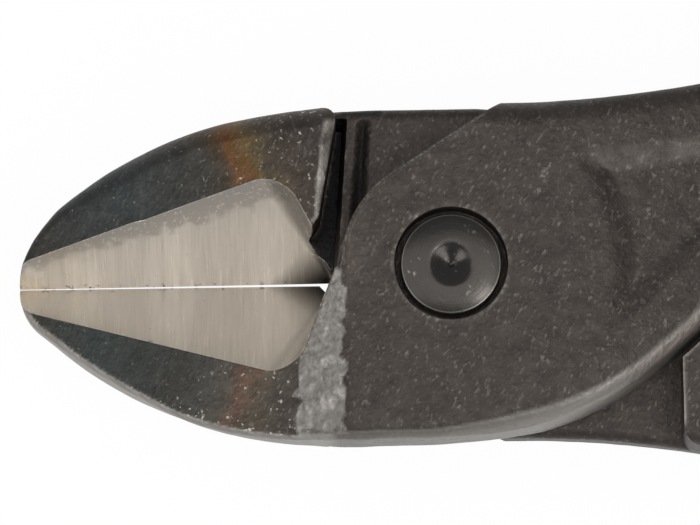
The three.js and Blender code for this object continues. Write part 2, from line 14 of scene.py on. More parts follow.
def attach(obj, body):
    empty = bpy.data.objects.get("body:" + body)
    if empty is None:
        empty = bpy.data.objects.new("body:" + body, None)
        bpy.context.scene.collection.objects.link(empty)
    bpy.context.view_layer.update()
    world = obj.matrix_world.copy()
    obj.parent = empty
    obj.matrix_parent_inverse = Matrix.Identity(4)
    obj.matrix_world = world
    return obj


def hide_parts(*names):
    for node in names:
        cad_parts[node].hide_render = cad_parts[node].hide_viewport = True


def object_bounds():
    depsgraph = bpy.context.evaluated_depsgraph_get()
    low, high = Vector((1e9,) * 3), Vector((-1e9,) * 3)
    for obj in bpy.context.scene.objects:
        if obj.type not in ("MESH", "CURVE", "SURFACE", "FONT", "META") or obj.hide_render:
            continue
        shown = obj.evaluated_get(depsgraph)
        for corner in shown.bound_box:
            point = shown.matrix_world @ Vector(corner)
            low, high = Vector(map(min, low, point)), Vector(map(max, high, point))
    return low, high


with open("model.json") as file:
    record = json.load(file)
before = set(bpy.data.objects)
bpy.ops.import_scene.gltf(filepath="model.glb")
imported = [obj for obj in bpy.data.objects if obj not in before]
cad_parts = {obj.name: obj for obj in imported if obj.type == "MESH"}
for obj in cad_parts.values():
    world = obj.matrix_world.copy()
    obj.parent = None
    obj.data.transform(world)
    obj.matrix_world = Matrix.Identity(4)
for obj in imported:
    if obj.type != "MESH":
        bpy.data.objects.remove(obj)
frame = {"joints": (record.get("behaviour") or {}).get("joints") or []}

bl_info = {
    "name": "Insulated side cutters",
    "version": (1, 0, 0),
    "blender": (4, 5, 0),
    "location": "View3D > Sidebar > Cutters",
    "description": "Forged levers, pivot rivet and insulated grips of a pair of side cutters",
    "category": "Add Mesh",
}

CAD_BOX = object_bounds()
PIVOT = Vector(frame["joints"][0]["pos_m"])
OPENING = frame["joints"][0]["range_deg"][1]
HALVES = (("front", 1), ("rear", -1))
MM = 0.001


def mm(*lengths):
    """Millimetres as metres."""
    return tuple(each * MM for each in lengths)


# Outline points this close, squared, are one point
SAME_POINT = 1e-18

# Meshing of the levers: step of a slope, tries to find a crossing and where they stay on a grid edge
SLOPE_STEP = 2e-8
SMALLEST_SLOPE = 1e-30
CROSSING_TRIES = 4
CROSSING_ENDS = (0.02, 0.98)
# Pull of a point towards the middle of its cell's crossings, where their slopes leave it free
MIDDLE_PULL = 0.04

# Grid of the levers. The cutting edges lie in the middle of a row of cells
EDGE_ROWS = 24.5
SPARE_ROWS = 3
FINE_PAST_GRIP = 2 * MM
FINE_OUTWARDS = 14 * MM
GRID_OUTWARDS = 25 * MM
TANG_STEP = 1.4 * MM
OUTER_STEP = 0.4 * MM
EDGE_SHIFT = 0.04 * MM

# Cells along each side of the block of random numbers, which repeats
LUMP_CELLS = 32

# Size and seed of the broad and the fine lumps on the forged faces and on the ramp
FACE_LUMPS = ((1.4 * MM, 3), (0.6 * MM, 4))
RAMP_LUMPS = ((mm(1.5, 0.55, 1.2), 5), (0.32 * MM, 6))
FINE_LUMP_SHARE = 0.6

# Rounding of a rib's ends: how late they draw in, and how far
RIB_END_POWER = 10.0
RIB_END_LEAST = 0.04

# Share of the floor's light that doesn't depend on the lamps, as the camera and reflections see it
FLOOR_GLOW = 0.96


def length(name, description, millimetres):
    return bpy.props.FloatProperty(
        name=name, description=description, default=millimetres * MM, unit="LENGTH", precision=6
    )


def angle(name, description, degrees):
    return bpy.props.FloatProperty(
        name=name, description=description, default=math.radians(degrees), subtype="ANGLE"
    )


def share(name, description, value):
    return bpy.props.FloatProperty(name=name, description=description, default=value)


def count(name, description, value):
    return bpy.props.IntProperty(name=name, description=description, default=value, min=1)


def linear(level):
    """A display level from 0 to 255 as light."""
    level /= 255
    return level / 12.92 if level <= 0.04045 else ((level + 0.055) / 1.055) ** 2.4


def screen(red, green, blue):
    """A colour as it shows on a display, as the linear colour of a shader."""
    return (linear(red), linear(green), linear(blue), 1.0)


def colour(name, description, red, green, blue):
    return bpy.props.FloatVectorProperty(
        name=name,
        description=description,
        default=screen(red, green, blue),
        size=4,
        subtype="COLOR",
        min=0,
        max=1,
    )


class HeadSizes(bpy.types.PropertyGroup):
    """Jaws, joint cheeks and tangs"""

    overall_length: length("Overall length", "Nose of the jaws to the ends of the grips", 160)
    tip_reach: length("Tip reach", "Pivot axis to the nose of the jaws", 26.6)
    head_width: length("Head width", "Across the closed jaws", 20.5)
    head_thickness: length("Head thickness", "Over both cheeks", 10.5)
    lap_gap: length("Lap gap", "Between the two cheeks", 0.2)
    edge_round: length("Edge rounding", "Rounding of the forged outer edges", 0.9)
    draft: share("Draft", "Slope of the forged sides", 0.05)
    nose_width: length("Nose width", "Across the nose of both jaws", 6)
    nose_crown: length("Nose crown", "How far the nose bulges", 1.3)
    jaw_straight: length("Straight side", "Parallel part of the jaw's side, ahead of the shoulder", 0.6)
    edge_level: length("Edge level", "Cutting edges, from the lap plane", -4.1)
    edge_gap_nose: length("Edge gap at the nose", "Between the closed cutting edges", 0.03)
    edge_gap_root: length("Edge gap at the root", "Between the closed cutting edges", 0.15)
    facet_angle: angle("Facet angle", "Ground facets on the front", 47)
    back_facet_angle: angle("Back facet angle", "Ground facets on the back", 24)
    nose_rise: length("Nose rise", "Front face above the edges at the nose", 1.5)
    front_slope: angle("Front slope", "Rise of the front face towards the joint", 17.6)
    valley_end: length("Valley end", "Pivot axis to the end of the ground valley", 7.0)
    front_valley_slant: share("Front valley slant", "Lean of the valley's end on the front lever", 0.42)
    rear_valley_slant: share("Rear valley slant", "Lean of the valley's end on the rear lever", 0.52)
    back_valley_end: length("Back valley end", "Pivot axis to the end of the valley on the back", 6.9)
    runout_root: length("Run-out at the edges", "Rounding of the valley's end at the cutting edges", 0.3)
    runout_growth: share("Run-out growth", "How fast that rounding grows outwards", 0.25)
    root_reach: length("Root reach", "Pivot axis to the root of the rear lever's cutting edge", 7.1)
    pocket_reach: length("Pocket reach", "Pivot axis to the pocket beside that root", 8.65)
    pocket_height: length("Pocket height", "Tool's axis to the pocket beside that root", 2.4)
    pocket_top: length("Pocket top", "Tool's axis to where the shoulder begins", 3.3)
    notch_at: length("Notch place", "Pivot axis to the relief notch", 7.65)
    notch_width: length("Notch width", "Relief notch at the root of the edges", 0.9)
    front_notch_depth: length("Front notch depth", "Relief notch in the front lever", 0.55)
    rear_notch_depth: length("Rear notch depth", "Relief notch in the rear lever", 0.12)
    cheek_radius: length("Cheek radius", "Round end of the joint cheek", 6.65)
    cheek_chamfer: length("Cheek chamfer", "Broken edge of the cheek", 0.2)
    stop_angle: angle("Stop edge angle", "Direction of the cheek's straight edge", 34)
    shoulder_relief: length("Shoulder relief", "Room between the cheek and the other jaw's shoulder", 1.85)
    shoulder_chamfer: length("Shoulder chamfer", "Broken edge of the jaw's shoulder", 0.75)
    cheek_top_step: length("Cheek corner", "The cheek's upper corner below the side of the head", 0.1)
    front_cheek_swell: length("Front cheek swell", "Front cheek's side proud of its outline", 0.3)
    front_flank_swell: length("Front flank swell", "Front jaw's side near its root, outwards", 0.19)
    front_side_lean: share("Front side lean", "Undercut of the front lever's side, over its height", 0.05)
    rear_cheek_swell: length("Rear cheek swell", "Rear cheek's side proud of its outline", 0.15)
    front_nose_swell: length("Front nose swell", "Front jaw's side near the nose, outwards", -0.2)
    rear_nose_swell: length("Rear nose swell", "Rear jaw's side near the nose, outwards", 0.5)
    heel_round: length("Heel rounding", "Rounding of the edge that runs to the handle", 1.6)
    ramp_from: length("Ramp start", "Pivot axis to the upper edge of the forged ramp", 6.6)
    ramp_angle: angle("Ramp angle", "Forged ramp between the jaw and the cheek", 41)
    ramp_relief: length("Ramp relief", "Roughness of the forged ramp", 0.15)
    swing_clearance: length("Swing clearance", "Between the tang and the other lever", 0.4)
    head_side_end: length("Head side", "Pivot axis to where the straight side of the head ends", 1.7)
    heel_reach: length("Heel reach", "Fullness of the curve from that side towards the handle", 11)
    crotch_reach: length("Crotch reach", "Fullness of the same curve at the handle", 9.6)
    crotch_angle: angle("Crotch angle", "Direction of that curve at the handle", 31)
    flank_reach: length("Flank reach", "Fullness of the outer curve", 7)
    tang_root_width: length("Tang root", "Width of the tang at the insulation", 9)
    tang_width: length("Tang width", "Width of the tang inside the grip", 6.6)
    tang_tail_width: length("Tang tail", "Width of the tang at its end", 5.2)
    tang_thickness: length("Tang thickness", "Thickness of the tang", 6.6)
    tang_taper: length("Tang taper", "Length over which the root narrows", 16)
    tang_step: length("Tang step", "Pivot axis to where the tang takes its own thickness", 14)
    tang_tail_gap: length("Tang tail gap", "End of the tang to the end of the grip", 6)
    heel_from: length("Heel start", "Pivot axis to where the cheek's face starts to fall", 13)
    heel_angle: angle("Heel angle", "Fall of the cheek's face towards the insulation", 20)
    boss_radius: length("Boss radius", "Raised round face about the pivot", 9.6)
    web_rim: length("Recess rim", "Rim beside the recess along the tang", 3.2)
    web_depth: length("Recess depth", "Depth of the recess along the tang", 0.55)
    web_wall: length("Recess wall", "Width of the recess's sloping wall", 1.9)
    web_corner: length("Recess corner", "Rounding of the recess's corners", 1.6)
    forge_relief: length("Forging relief", "Unevenness of the forged faces", 0.014)


class RivetSizes(bpy.types.PropertyGroup):
    """Pivot rivet"""

    head_diameter: length("Head diameter", "Rivet head", 6.16)
    head_crown: length("Head crown", "Rise of the head's middle over its rim", 0.26)
    head_height: length("Head height", "Rivet head", 2)
    shank_diameter: length("Shank diameter", "Rivet shank", 4.6)
    tail_diameter: length("Tail diameter", "Peened tail", 6)
    tail_height: length("Tail height", "Peened tail", 1.4)
    chamfer: length("Chamfer", "Rounded edge of the head", 0.14)
    recess: length("Recess", "Head below the face of the cheek", 0.1)
    dimple_diameter: length("Dimple diameter", "Centre dimple of the head", 3.1)
    dimple_depth: length("Dimple depth", "Centre dimple of the head", 0.56)
    pit_diameter: length("Pit diameter", "Centre pit in the dimple", 0.5)
    pit_depth: length("Pit depth", "Centre pit in the dimple", 0.1)
    ring_gap: length("Ring gap", "Groove round the head", 0.37)
    clearance: length("Running clearance", "Between the rivet and the levers", 0.08)


class GripSizes(bpy.types.PropertyGroup):
    """Under-sleeves, grip shells and soft pads"""

    start: length("Start", "Pivot axis to the front of the insulation", 24)
    neck_offset: length("Neck offset", "Middle of the handle from the tool's axis at the front", 8.8)
    tail_offset: length("Tail offset", "Middle of the handle from the tool's axis at the end", 13.4)
    bow_offset: length("Bow offset", "Pull of the handle's curve between them", 20)
    rest_thickness: length("Rest thickness", "Over the guards and the flared ends", 19.4)
    rest_cut: length("Rest cut", "How much these are cut flat", 0.5)
    tang_clearance: length("Tang clearance", "Between the tang and the under-sleeve", 0.3)
    sleeve_wall: length("Sleeve wall", "Wall of the under-sleeve", 1.1)
    sleeve_lip: length("Sleeve lip", "Under-sleeve in front of the shell", 1.6)
    sleeve_tail_gap: length("Sleeve tail gap", "End of the under-sleeve to the end of the grip", 3.5)
    shell_clearance: length("Shell clearance", "Between the under-sleeve and the shell", 0.2)
    section_power: share("Section power", "1 is an ellipse, smaller is squarer", 0.72)
    sleeve_power: share("Sleeve power", "The same for the under-sleeve", 0.5)
    neck_out: length("Neck out", "Shell at the neck, outwards", 7.5)
    neck_in: length("Neck in", "Shell at the neck, inwards", 7.2)
    neck_half: length("Neck half", "Shell at the neck, upwards", 6.8)
    guard_at: length("Guard", "Front of the insulation to the crest of the guard", 13)
    guard_crest: length("Guard crest", "Flat top of the guard", 2)
    guard_flank: length("Guard flank", "Length of each side of the guard", 5.5)
    guard_out: length("Guard out", "Guard, outwards", 12.2)
    guard_in: length("Guard in", "Guard, inwards", 8.2)
    thumb_out: length("Thumb out", "Shell behind the guard, outwards", 7.4)
    thumb_in: length("Thumb in", "Shell behind the guard, inwards", 7.2)
    thumb_half: length("Thumb half", "Shell behind the guard, upwards", 7.6)
    palm_at: length("Palm", "Front of the insulation to the fullest part", 52)
    palm_out: length("Palm out", "Fullest part, outwards", 8)
    palm_in: length("Palm in", "Fullest part, inwards", 7.6)
    palm_half: length("Palm half", "Fullest part, upwards", 8.6)
    tail_from_end: length("Waist", "Waist ahead of the end, from the end", 20)
    tail_out: length("Waist out", "Waist, outwards", 7)
    tail_in: length("Waist in", "Waist, inwards", 6.8)
    tail_half: length("Waist half", "Waist, upwards", 7.9)
    flare_from_end: length("Flare", "Flared end, from the end", 9)
    flare_out: length("Flare out", "Flared end, outwards", 7.9)
    flare_in: length("Flare in", "Flared end, inwards", 7.2)
    end_round: length("End rounding", "Rounding of the grip's end", 5)
    end_close: share("End close", "Share of that rounding before the flat end", 0.98)
    mouth_round: length("Mouth rounding", "Rounded front edges of the shell and the under-sleeve", 0.5)
    pad_depth: length("Pad depth", "Pad below the shell's surface", 1.2)
    pad_proud: length("Pad proud", "Ribs above the shell's surface", 0.3)
    pad_clearance: length("Pad clearance", "Groove round a pad", 0.2)
    pad_round: length("Pad rounding", "Rounded rim of a pad", 0.45)
    pad_end_taper: share("Pad end width", "Width of a pad's end as a share of the pad", 0.35)
    pad_end_power: share("Pad end power", "How late a pad draws in", 6)
    palm_pad_from_guard: length("Palm pad start", "Guard to the palm pad", 14)
    palm_pad_from_end: length("Palm pad end", "Palm pad to the end of the grip", 21)
    palm_pad_spread: angle("Palm pad spread", "Half the angle that the palm pad covers", 48)
    finger_pad_from_guard: length("Finger pad start", "Guard to the finger pad", 12)
    finger_pad_from_end: length("Finger pad end", "Finger pad to the end of the grip", 23)
    finger_pad_spread: angle("Finger pad spread", "Half the angle that the finger pad covers", 44)
    thumb_pad_from_guard: length("Thumb pad start", "Guard to a thumb pad", 9)
    thumb_pad_length: length("Thumb pad length", "Length of a thumb pad", 28)
    thumb_pad_spread: angle("Thumb pad spread", "Half the angle that a thumb pad covers", 32)
    rib_radius: length("Rib radius", "Section of a rib on the pads", 0.42)
    rib_pitch: length("Rib pitch", "Between the ribs", 2.3)
    rib_margin: length("Rib margin", "End of a pad to its first rib", 2.4)
    rib_share: share("Rib share", "Part of the pad's width that a rib takes", 0.8)
    rib_sides: count("Rib sides", "Sides of a rib's section", 10)


class Finish(bpy.types.PropertyGroup):
    """Colours of the steel, plastic and rubber"""

    forging: colour("Forging", "Dark phosphated steel", 66, 60, 56)
    # Also the colour of the painted highlights on the recess wall and the shoulder's chamfer
    speck: colour("Speck", "Bare specks and worn edges", 150, 145, 138)
    # Painted light: both facets are the same ground steel, the front one toned darker as painted shade and
    # the rear one lighter as painted light
    front_facet: colour("Front facet", "Ground cutting facet of the front lever", 189, 181, 171)
    rear_facet: colour("Rear facet", "Ground cutting facet of the rear lever", 229, 226, 221)
    # Also the painted shade where the rear valley runs out
    band: colour("Band", "Duller band along the upper facet", 186, 182, 177)
    ramp: colour("Ramp", "Rough forged ramp", 166, 161, 156)
    # Laid only on the front lever's sides that face the lamps, so partly a painted highlight
    wall: colour("Wall", "Belt-ground outer sides", 168, 164, 158)
    rivet: colour("Rivet", "Turned rivet", 64, 61, 58)
    sleeve: colour("Sleeve", "Yellow under-sleeve", 236, 178, 8)
    shell: colour("Shell", "Red grip shell", 186, 18, 16)
    pad: colour("Pad", "Yellow soft pads", 232, 176, 12)
    floor: colour("Floor", "Studio floor", 252, 252, 252)


class StageSizes(bpy.types.PropertyGroup):
    """Camera and light"""

    view_width: length("View width", "Width of the picture at the head", 42.95)
    distance: length("Distance", "Camera to the head", 400)
    tilt: angle("Tilt", "Camera from straight above", 7.6)
    roll: angle("Roll", "Turn of the picture", 0.99)
    aim_x: length("Aim X", "Middle of the picture, from the pivot", -6.12)
    aim_y: length("Aim Y", "Middle of the picture, from the pivot", 0.83)
    floor_size: length("Floor size", "Side of the floor", 4000)


def sizes(name):
    return getattr(bpy.context.scene, "cutters_" + name)


def ease(value):
    """Smooth step from 0 to 1."""
    value = np.clip(value, 0, 1)
    return value * value * (3 - 2 * value)


def rise(value, start, width):
    """The same from a start, over a width."""
    return ease((value - start) / width)


def stretch(value, run):
    """Rises from 0 to 1 and falls to 0 again, between the four ends of a run."""
    start, full, fade, end = run
    return rise(value, start, full - start) * (1 - rise(value, fade, end - fade))


def round_max(a, b, radius):
    """Where both distances hold, with the edge between them rounded."""
    outer = np.hypot(np.maximum(a + radius, 0), np.maximum(b + radius, 0))
    return np.minimum(-radius, np.maximum(a, b)) + outer


def round_min(a, b, radius):
    """Where either distance holds, with the corner between them filled."""
    return -round_max(-a, -b, radius)


def chamfer_max(a, b, width):
    """Where both distances hold, with the edge between them broken."""
    return np.maximum(np.maximum(a, b), (a + b + width) / math.sqrt(2))


def arc(centre, radius, start, end, steps):
    angles = np.linspace(start, end, steps + 1)
    return np.column_stack((centre[0] + radius * np.cos(angles), centre[1] + radius * np.sin(angles)))


def bezier(corners, steps):
    t = np.linspace(0, 1, steps + 1)[:, None]
    a, b, c, d = np.asarray(corners, float)
    return (1 - t) ** 3 * a + 3 * (1 - t) ** 2 * t * b + 3 * (1 - t) * t**2 * c + t**3 * d


def direction(points):
    """Unit tangents along a row of points."""
    along = np.gradient(points, axis=0)
    return along / np.linalg.norm(along, axis=1, keepdims=True)


class Handle:
    """Middle line of a handle and the sections set along it."""

    STEPS = 600

    def __init__(self):
        head, grip = sizes("head"), sizes("grip")
        end = head.overall_length - head.tip_reach
        third = (end - grip.start) / 3
        self.line = bezier(
            (
                (grip.start, grip.neck_offset),
                (grip.start + third, grip.bow_offset),
                (end - third, grip.bow_offset),
                (end, grip.tail_offset),
            ),
            self.STEPS,
        )
        steps = np.linalg.norm(np.diff(self.line, axis=0), axis=1)
        self.run = np.concatenate(((0,), np.cumsum(steps)))
        self.along = direction(self.line)
        self.length = self.run[-1]
        self.tang_length = self.length - head.tang_tail_gap
        self.sleeve_length = self.length - grip.sleeve_tail_gap
        self.stations = self.shell_stations(grip)

    def shell_stations(self, grip):
        """Rows of distance, reach outwards, reach inwards and half thickness along the shell."""
        rest = grip.rest_thickness / 2 + grip.rest_cut
        front = grip.guard_at - grip.guard_crest / 2
        back = grip.guard_at + grip.guard_crest / 2
        neck = (grip.neck_out, grip.neck_in, grip.neck_half)
        guard = (grip.guard_out, grip.guard_in, rest)
        flare = (grip.flare_out, grip.flare_in, rest)
        return np.array(
            (
                (grip.sleeve_lip, *neck),
                (front - grip.guard_flank, *neck),
                (front, *guard),
                (back, *guard),
                (back + grip.guard_flank, grip.thumb_out, grip.thumb_in, grip.thumb_half),
                (grip.palm_at, grip.palm_out, grip.palm_in, grip.palm_half),
                (self.length - grip.tail_from_end, grip.tail_out, grip.tail_in, grip.tail_half),
                (self.length - grip.flare_from_end, *flare),
                (self.length - grip.end_round, *flare),
                (self.length, *flare),
            )
        )

    def frame(self, distance):
        """Middle point and outward direction at a distance along the handle."""
        middle = [np.interp(distance, self.run, self.line[:, k]) for k in (0, 1)]
        along = [np.interp(distance, self.run, self.along[:, k]) for k in (0, 1)]
        return np.stack(middle, -1), np.stack((-along[1], along[0]), -1)

    def tang_half(self, distance):
        head = sizes("head")
        neck = ease(distance / head.tang_taper)
        slender = head.tang_width + (head.tang_tail_width - head.tang_width) * distance / self.length
        return (head.tang_root_width + (slender - head.tang_root_width) * neck) / 2

    def tang_edge(self, side, growth=0.0, steps=60):
        distance = np.linspace(0, self.tang_length, steps + 1)
        middle, out = self.frame(distance)
        return middle + out * (side * (self.tang_half(distance) + growth))[:, None]

    def shell_size(self, distance, offset=0.0):
        """Reach outwards, reach inwards and half thickness of the shell."""
        grip = sizes("grip")
        at = self.stations[:, 0]
        after = np.clip(np.searchsorted(at, distance), 1, len(at) - 1)
        before = after - 1
        part = ease((distance - at[before]) / (at[after] - at[before]))
        into = np.clip((distance - self.length + grip.end_round) / grip.end_round, 0, grip.end_close)
        close = np.sqrt(1 - into**2)
        low, high = self.stations[before, 1:], self.stations[after, 1:]
        return np.moveaxis((low + (high - low) * part[..., None]) * close[..., None] + offset, -1, 0)

    def round_tang(self, distance, wall):
        """The same for a sleeve that lies round the tang."""
        side = self.tang_half(distance) + wall
        return side, side, np.full_like(side, sizes("head").tang_thickness / 2 + wall)

    def sleeve_size(self, distance, offset=0.0):
        grip = sizes("grip")
        return self.round_tang(distance, grip.tang_clearance + grip.sleeve_wall + offset)

    def bore_size(self, distance):
        return self.round_tang(distance, sizes("grip").tang_clearance)

    def surface(self, distance, size, turn, power):
        """Points of a section, at an angle from the outward direction."""
        grip = sizes("grip")
        middle, out = self.frame(distance)
        reach_out, reach_in, half = size
        cosine, sine = np.cos(turn), np.sin(turn)
        across = np.sign(cosine) * np.abs(cosine) ** power * np.where(cosine > 0, reach_out, reach_in)
        rest = grip.rest_thickness / 2
        up = np.clip(np.sign(sine) * np.abs(sine) ** power * half, -rest, rest)
        x, y = (middle[..., k] + out[..., k] * across for k in (0, 1))
        return np.stack((x, y, up), -1)


def edge_gap(head, x):
    """Gap between the closed cutting edges."""
    part = (x + head.tip_reach) / (head.tip_reach - head.cheek_radius)
    return head.edge_gap_nose + (head.edge_gap_root - head.edge_gap_nose) * np.clip(part, 0, 1)


class Plans:
    """Outlines of a lever seen from above."""

    STEPS = 48

    def __init__(self, handle):
        head = sizes("head")
        self.head = head
        self.half = head.head_width / 2
        self.shoulder = head.stop_angle + math.radians(OPENING)
        self.reach = head.cheek_radius + head.shoulder_relief
        turn = head.stop_angle
        foot = head.cheek_radius * np.array((-math.sin(turn), math.cos(turn)))
        height = self.half - head.cheek_top_step
        corner = np.array((foot[0] + (height - foot[1]) / math.tan(turn), height))
        outer = handle.tang_edge(1)
        inner = handle.tang_edge(-1)
        forward = outer[0] - direction(handle.line[:2])[0] * head.flank_reach
        self.flank = bezier((corner, corner + (head.flank_reach, 0), forward, outer[0]), self.STEPS)
        pull = np.array((math.cos(head.crotch_angle), math.sin(head.crotch_angle)))
        self.heel = bezier(
            (
                inner[0],
                inner[0] - pull * head.crotch_reach,
                (head.head_side_end + head.heel_reach, -self.half),
                (head.head_side_end, -self.half),
            ),
            self.STEPS,
        )
        self.handle_side = np.vstack((self.flank, outer[1:], inner[::-1], self.heel[1:]))

    def shoulder_x(self, height):
        return height / math.tan(self.shoulder) - self.reach / math.sin(self.shoulder)

    def edge_at(self, x):
        return (x, -edge_gap(self.head, x) / 2)

    def jaw_side(self):
        """Outer side and nose of the jaw, from its wide end to the cutting edge."""
        head = self.head
        wide = np.array((self.shoulder_x(self.half) - head.jaw_straight, -self.half))
        corner = np.array((head.nose_crown - head.tip_reach, -head.nose_width / 2))
        run, drop = wide[0] - corner[0], corner[1] - wide[1]
        side_radius = (run**2 + drop**2) / (2 * drop)
        nose_radius = (head.nose_crown**2 + (head.nose_width / 2) ** 2) / (2 * head.nose_crown)
        side_sweep = math.asin(run / side_radius)
        nose_sweep = math.asin(head.nose_width / 2 / nose_radius)
        nose_gap = math.asin(head.edge_gap_nose / 2 / nose_radius)
        quarter = math.pi / 2
        side = arc(wide + (0, side_radius), side_radius, -quarter, -quarter - side_sweep, self.STEPS)
        nose_middle = (nose_radius - head.tip_reach, 0)
        nose = arc(nose_middle, nose_radius, math.pi + nose_sweep, math.pi + nose_gap, self.STEPS // 2)
        return np.vstack((side, nose[1:]))

    def jaw(self, facing):
        """The jaw alone, ahead of its shoulder. The rear one has a pocket beside the root of its edge."""
        head = self.head
        root = -head.root_reach
        turn = (root * math.sin(self.shoulder) + self.reach) / math.cos(self.shoulder)
        corners = [self.edge_at(root), (root, -turn)]
        if facing < 0:
            pocket = (-head.pocket_reach, -head.pocket_height)
            corners = [self.edge_at(root), pocket, (self.shoulder_x(head.pocket_top), -head.pocket_top)]
        return np.vstack((corners, (self.shoulder_x(self.half), -self.half), self.jaw_side()))

    def lever(self):
        """Jaw, cheek and tang."""
        head = self.head
        round_end = arc((0, 0), head.cheek_radius, math.pi, head.stop_angle + math.pi / 2, self.STEPS)
        root = self.edge_at(-head.cheek_radius)
        return np.vstack((round_end, self.handle_side[1:], self.jaw_side(), root))

    def forging(self):
        """The same with the other jaw filled in, so that only the forged outer sides lie on it."""
        jaw = self.jaw_side()
        return np.vstack((self.handle_side, jaw, (jaw * (1, -1))[::-1][1:]))

    def web(self):
        """Recess between the rims along the tang."""
        rows = []
        for curve in (self.flank, self.heel):
            along = direction(curve)
            rows.append(curve + np.column_stack((along[:, 1], -along[:, 0])) * self.head.web_rim)
        return np.vstack(rows)


def plan_distance(outline, x, y):
    """Signed distance from points to a closed outline, negative inside."""
    nearest = np.full(x.shape, np.inf)
    inside = np.zeros(x.shape, bool)
    for (ax, ay), (bx, by) in zip(outline, np.roll(outline, -1, axis=0)):
        ex, ey = bx - ax, by - ay
        span = ex * ex + ey * ey
        if span < SAME_POINT:
            continue
        px, py = x - ax, y - ay
        t = np.clip((px * ex + py * ey) / span, 0, 1)
        nearest = np.minimum(nearest, (px - t * ex) ** 2 + (py - t * ey) ** 2)
        if ey != 0:
            inside ^= ((ay > y) != (by > y)) & (px < ex * py / ey)
    return np.where(inside, -1, 1) * np.sqrt(nearest)


class PlanTable:
    """Signed distance to an outline, worked out on a grid and read between its points."""

    def __init__(self, outline, xs, ys, swell=0.0):
        self.xs, self.ys = xs, ys
        self.values = plan_distance(outline, *np.meshgrid(xs, ys, indexing="ij")) - swell

    def __call__(self, x, y):
        u = np.interp(x, self.xs, np.arange(len(self.xs)))
        v = np.interp(y, self.ys, np.arange(len(self.ys)))
        i = np.minimum(u.astype(int), len(self.xs) - 2)
        j = np.minimum(v.astype(int), len(self.ys) - 2)
        u, v = u - i, v - j
        low = self.values[i, j] * (1 - u) + self.values[i + 1, j] * u
        high = self.values[i, j + 1] * (1 - u) + self.values[i + 1, j + 1] * u
        return low * (1 - v) + high * v


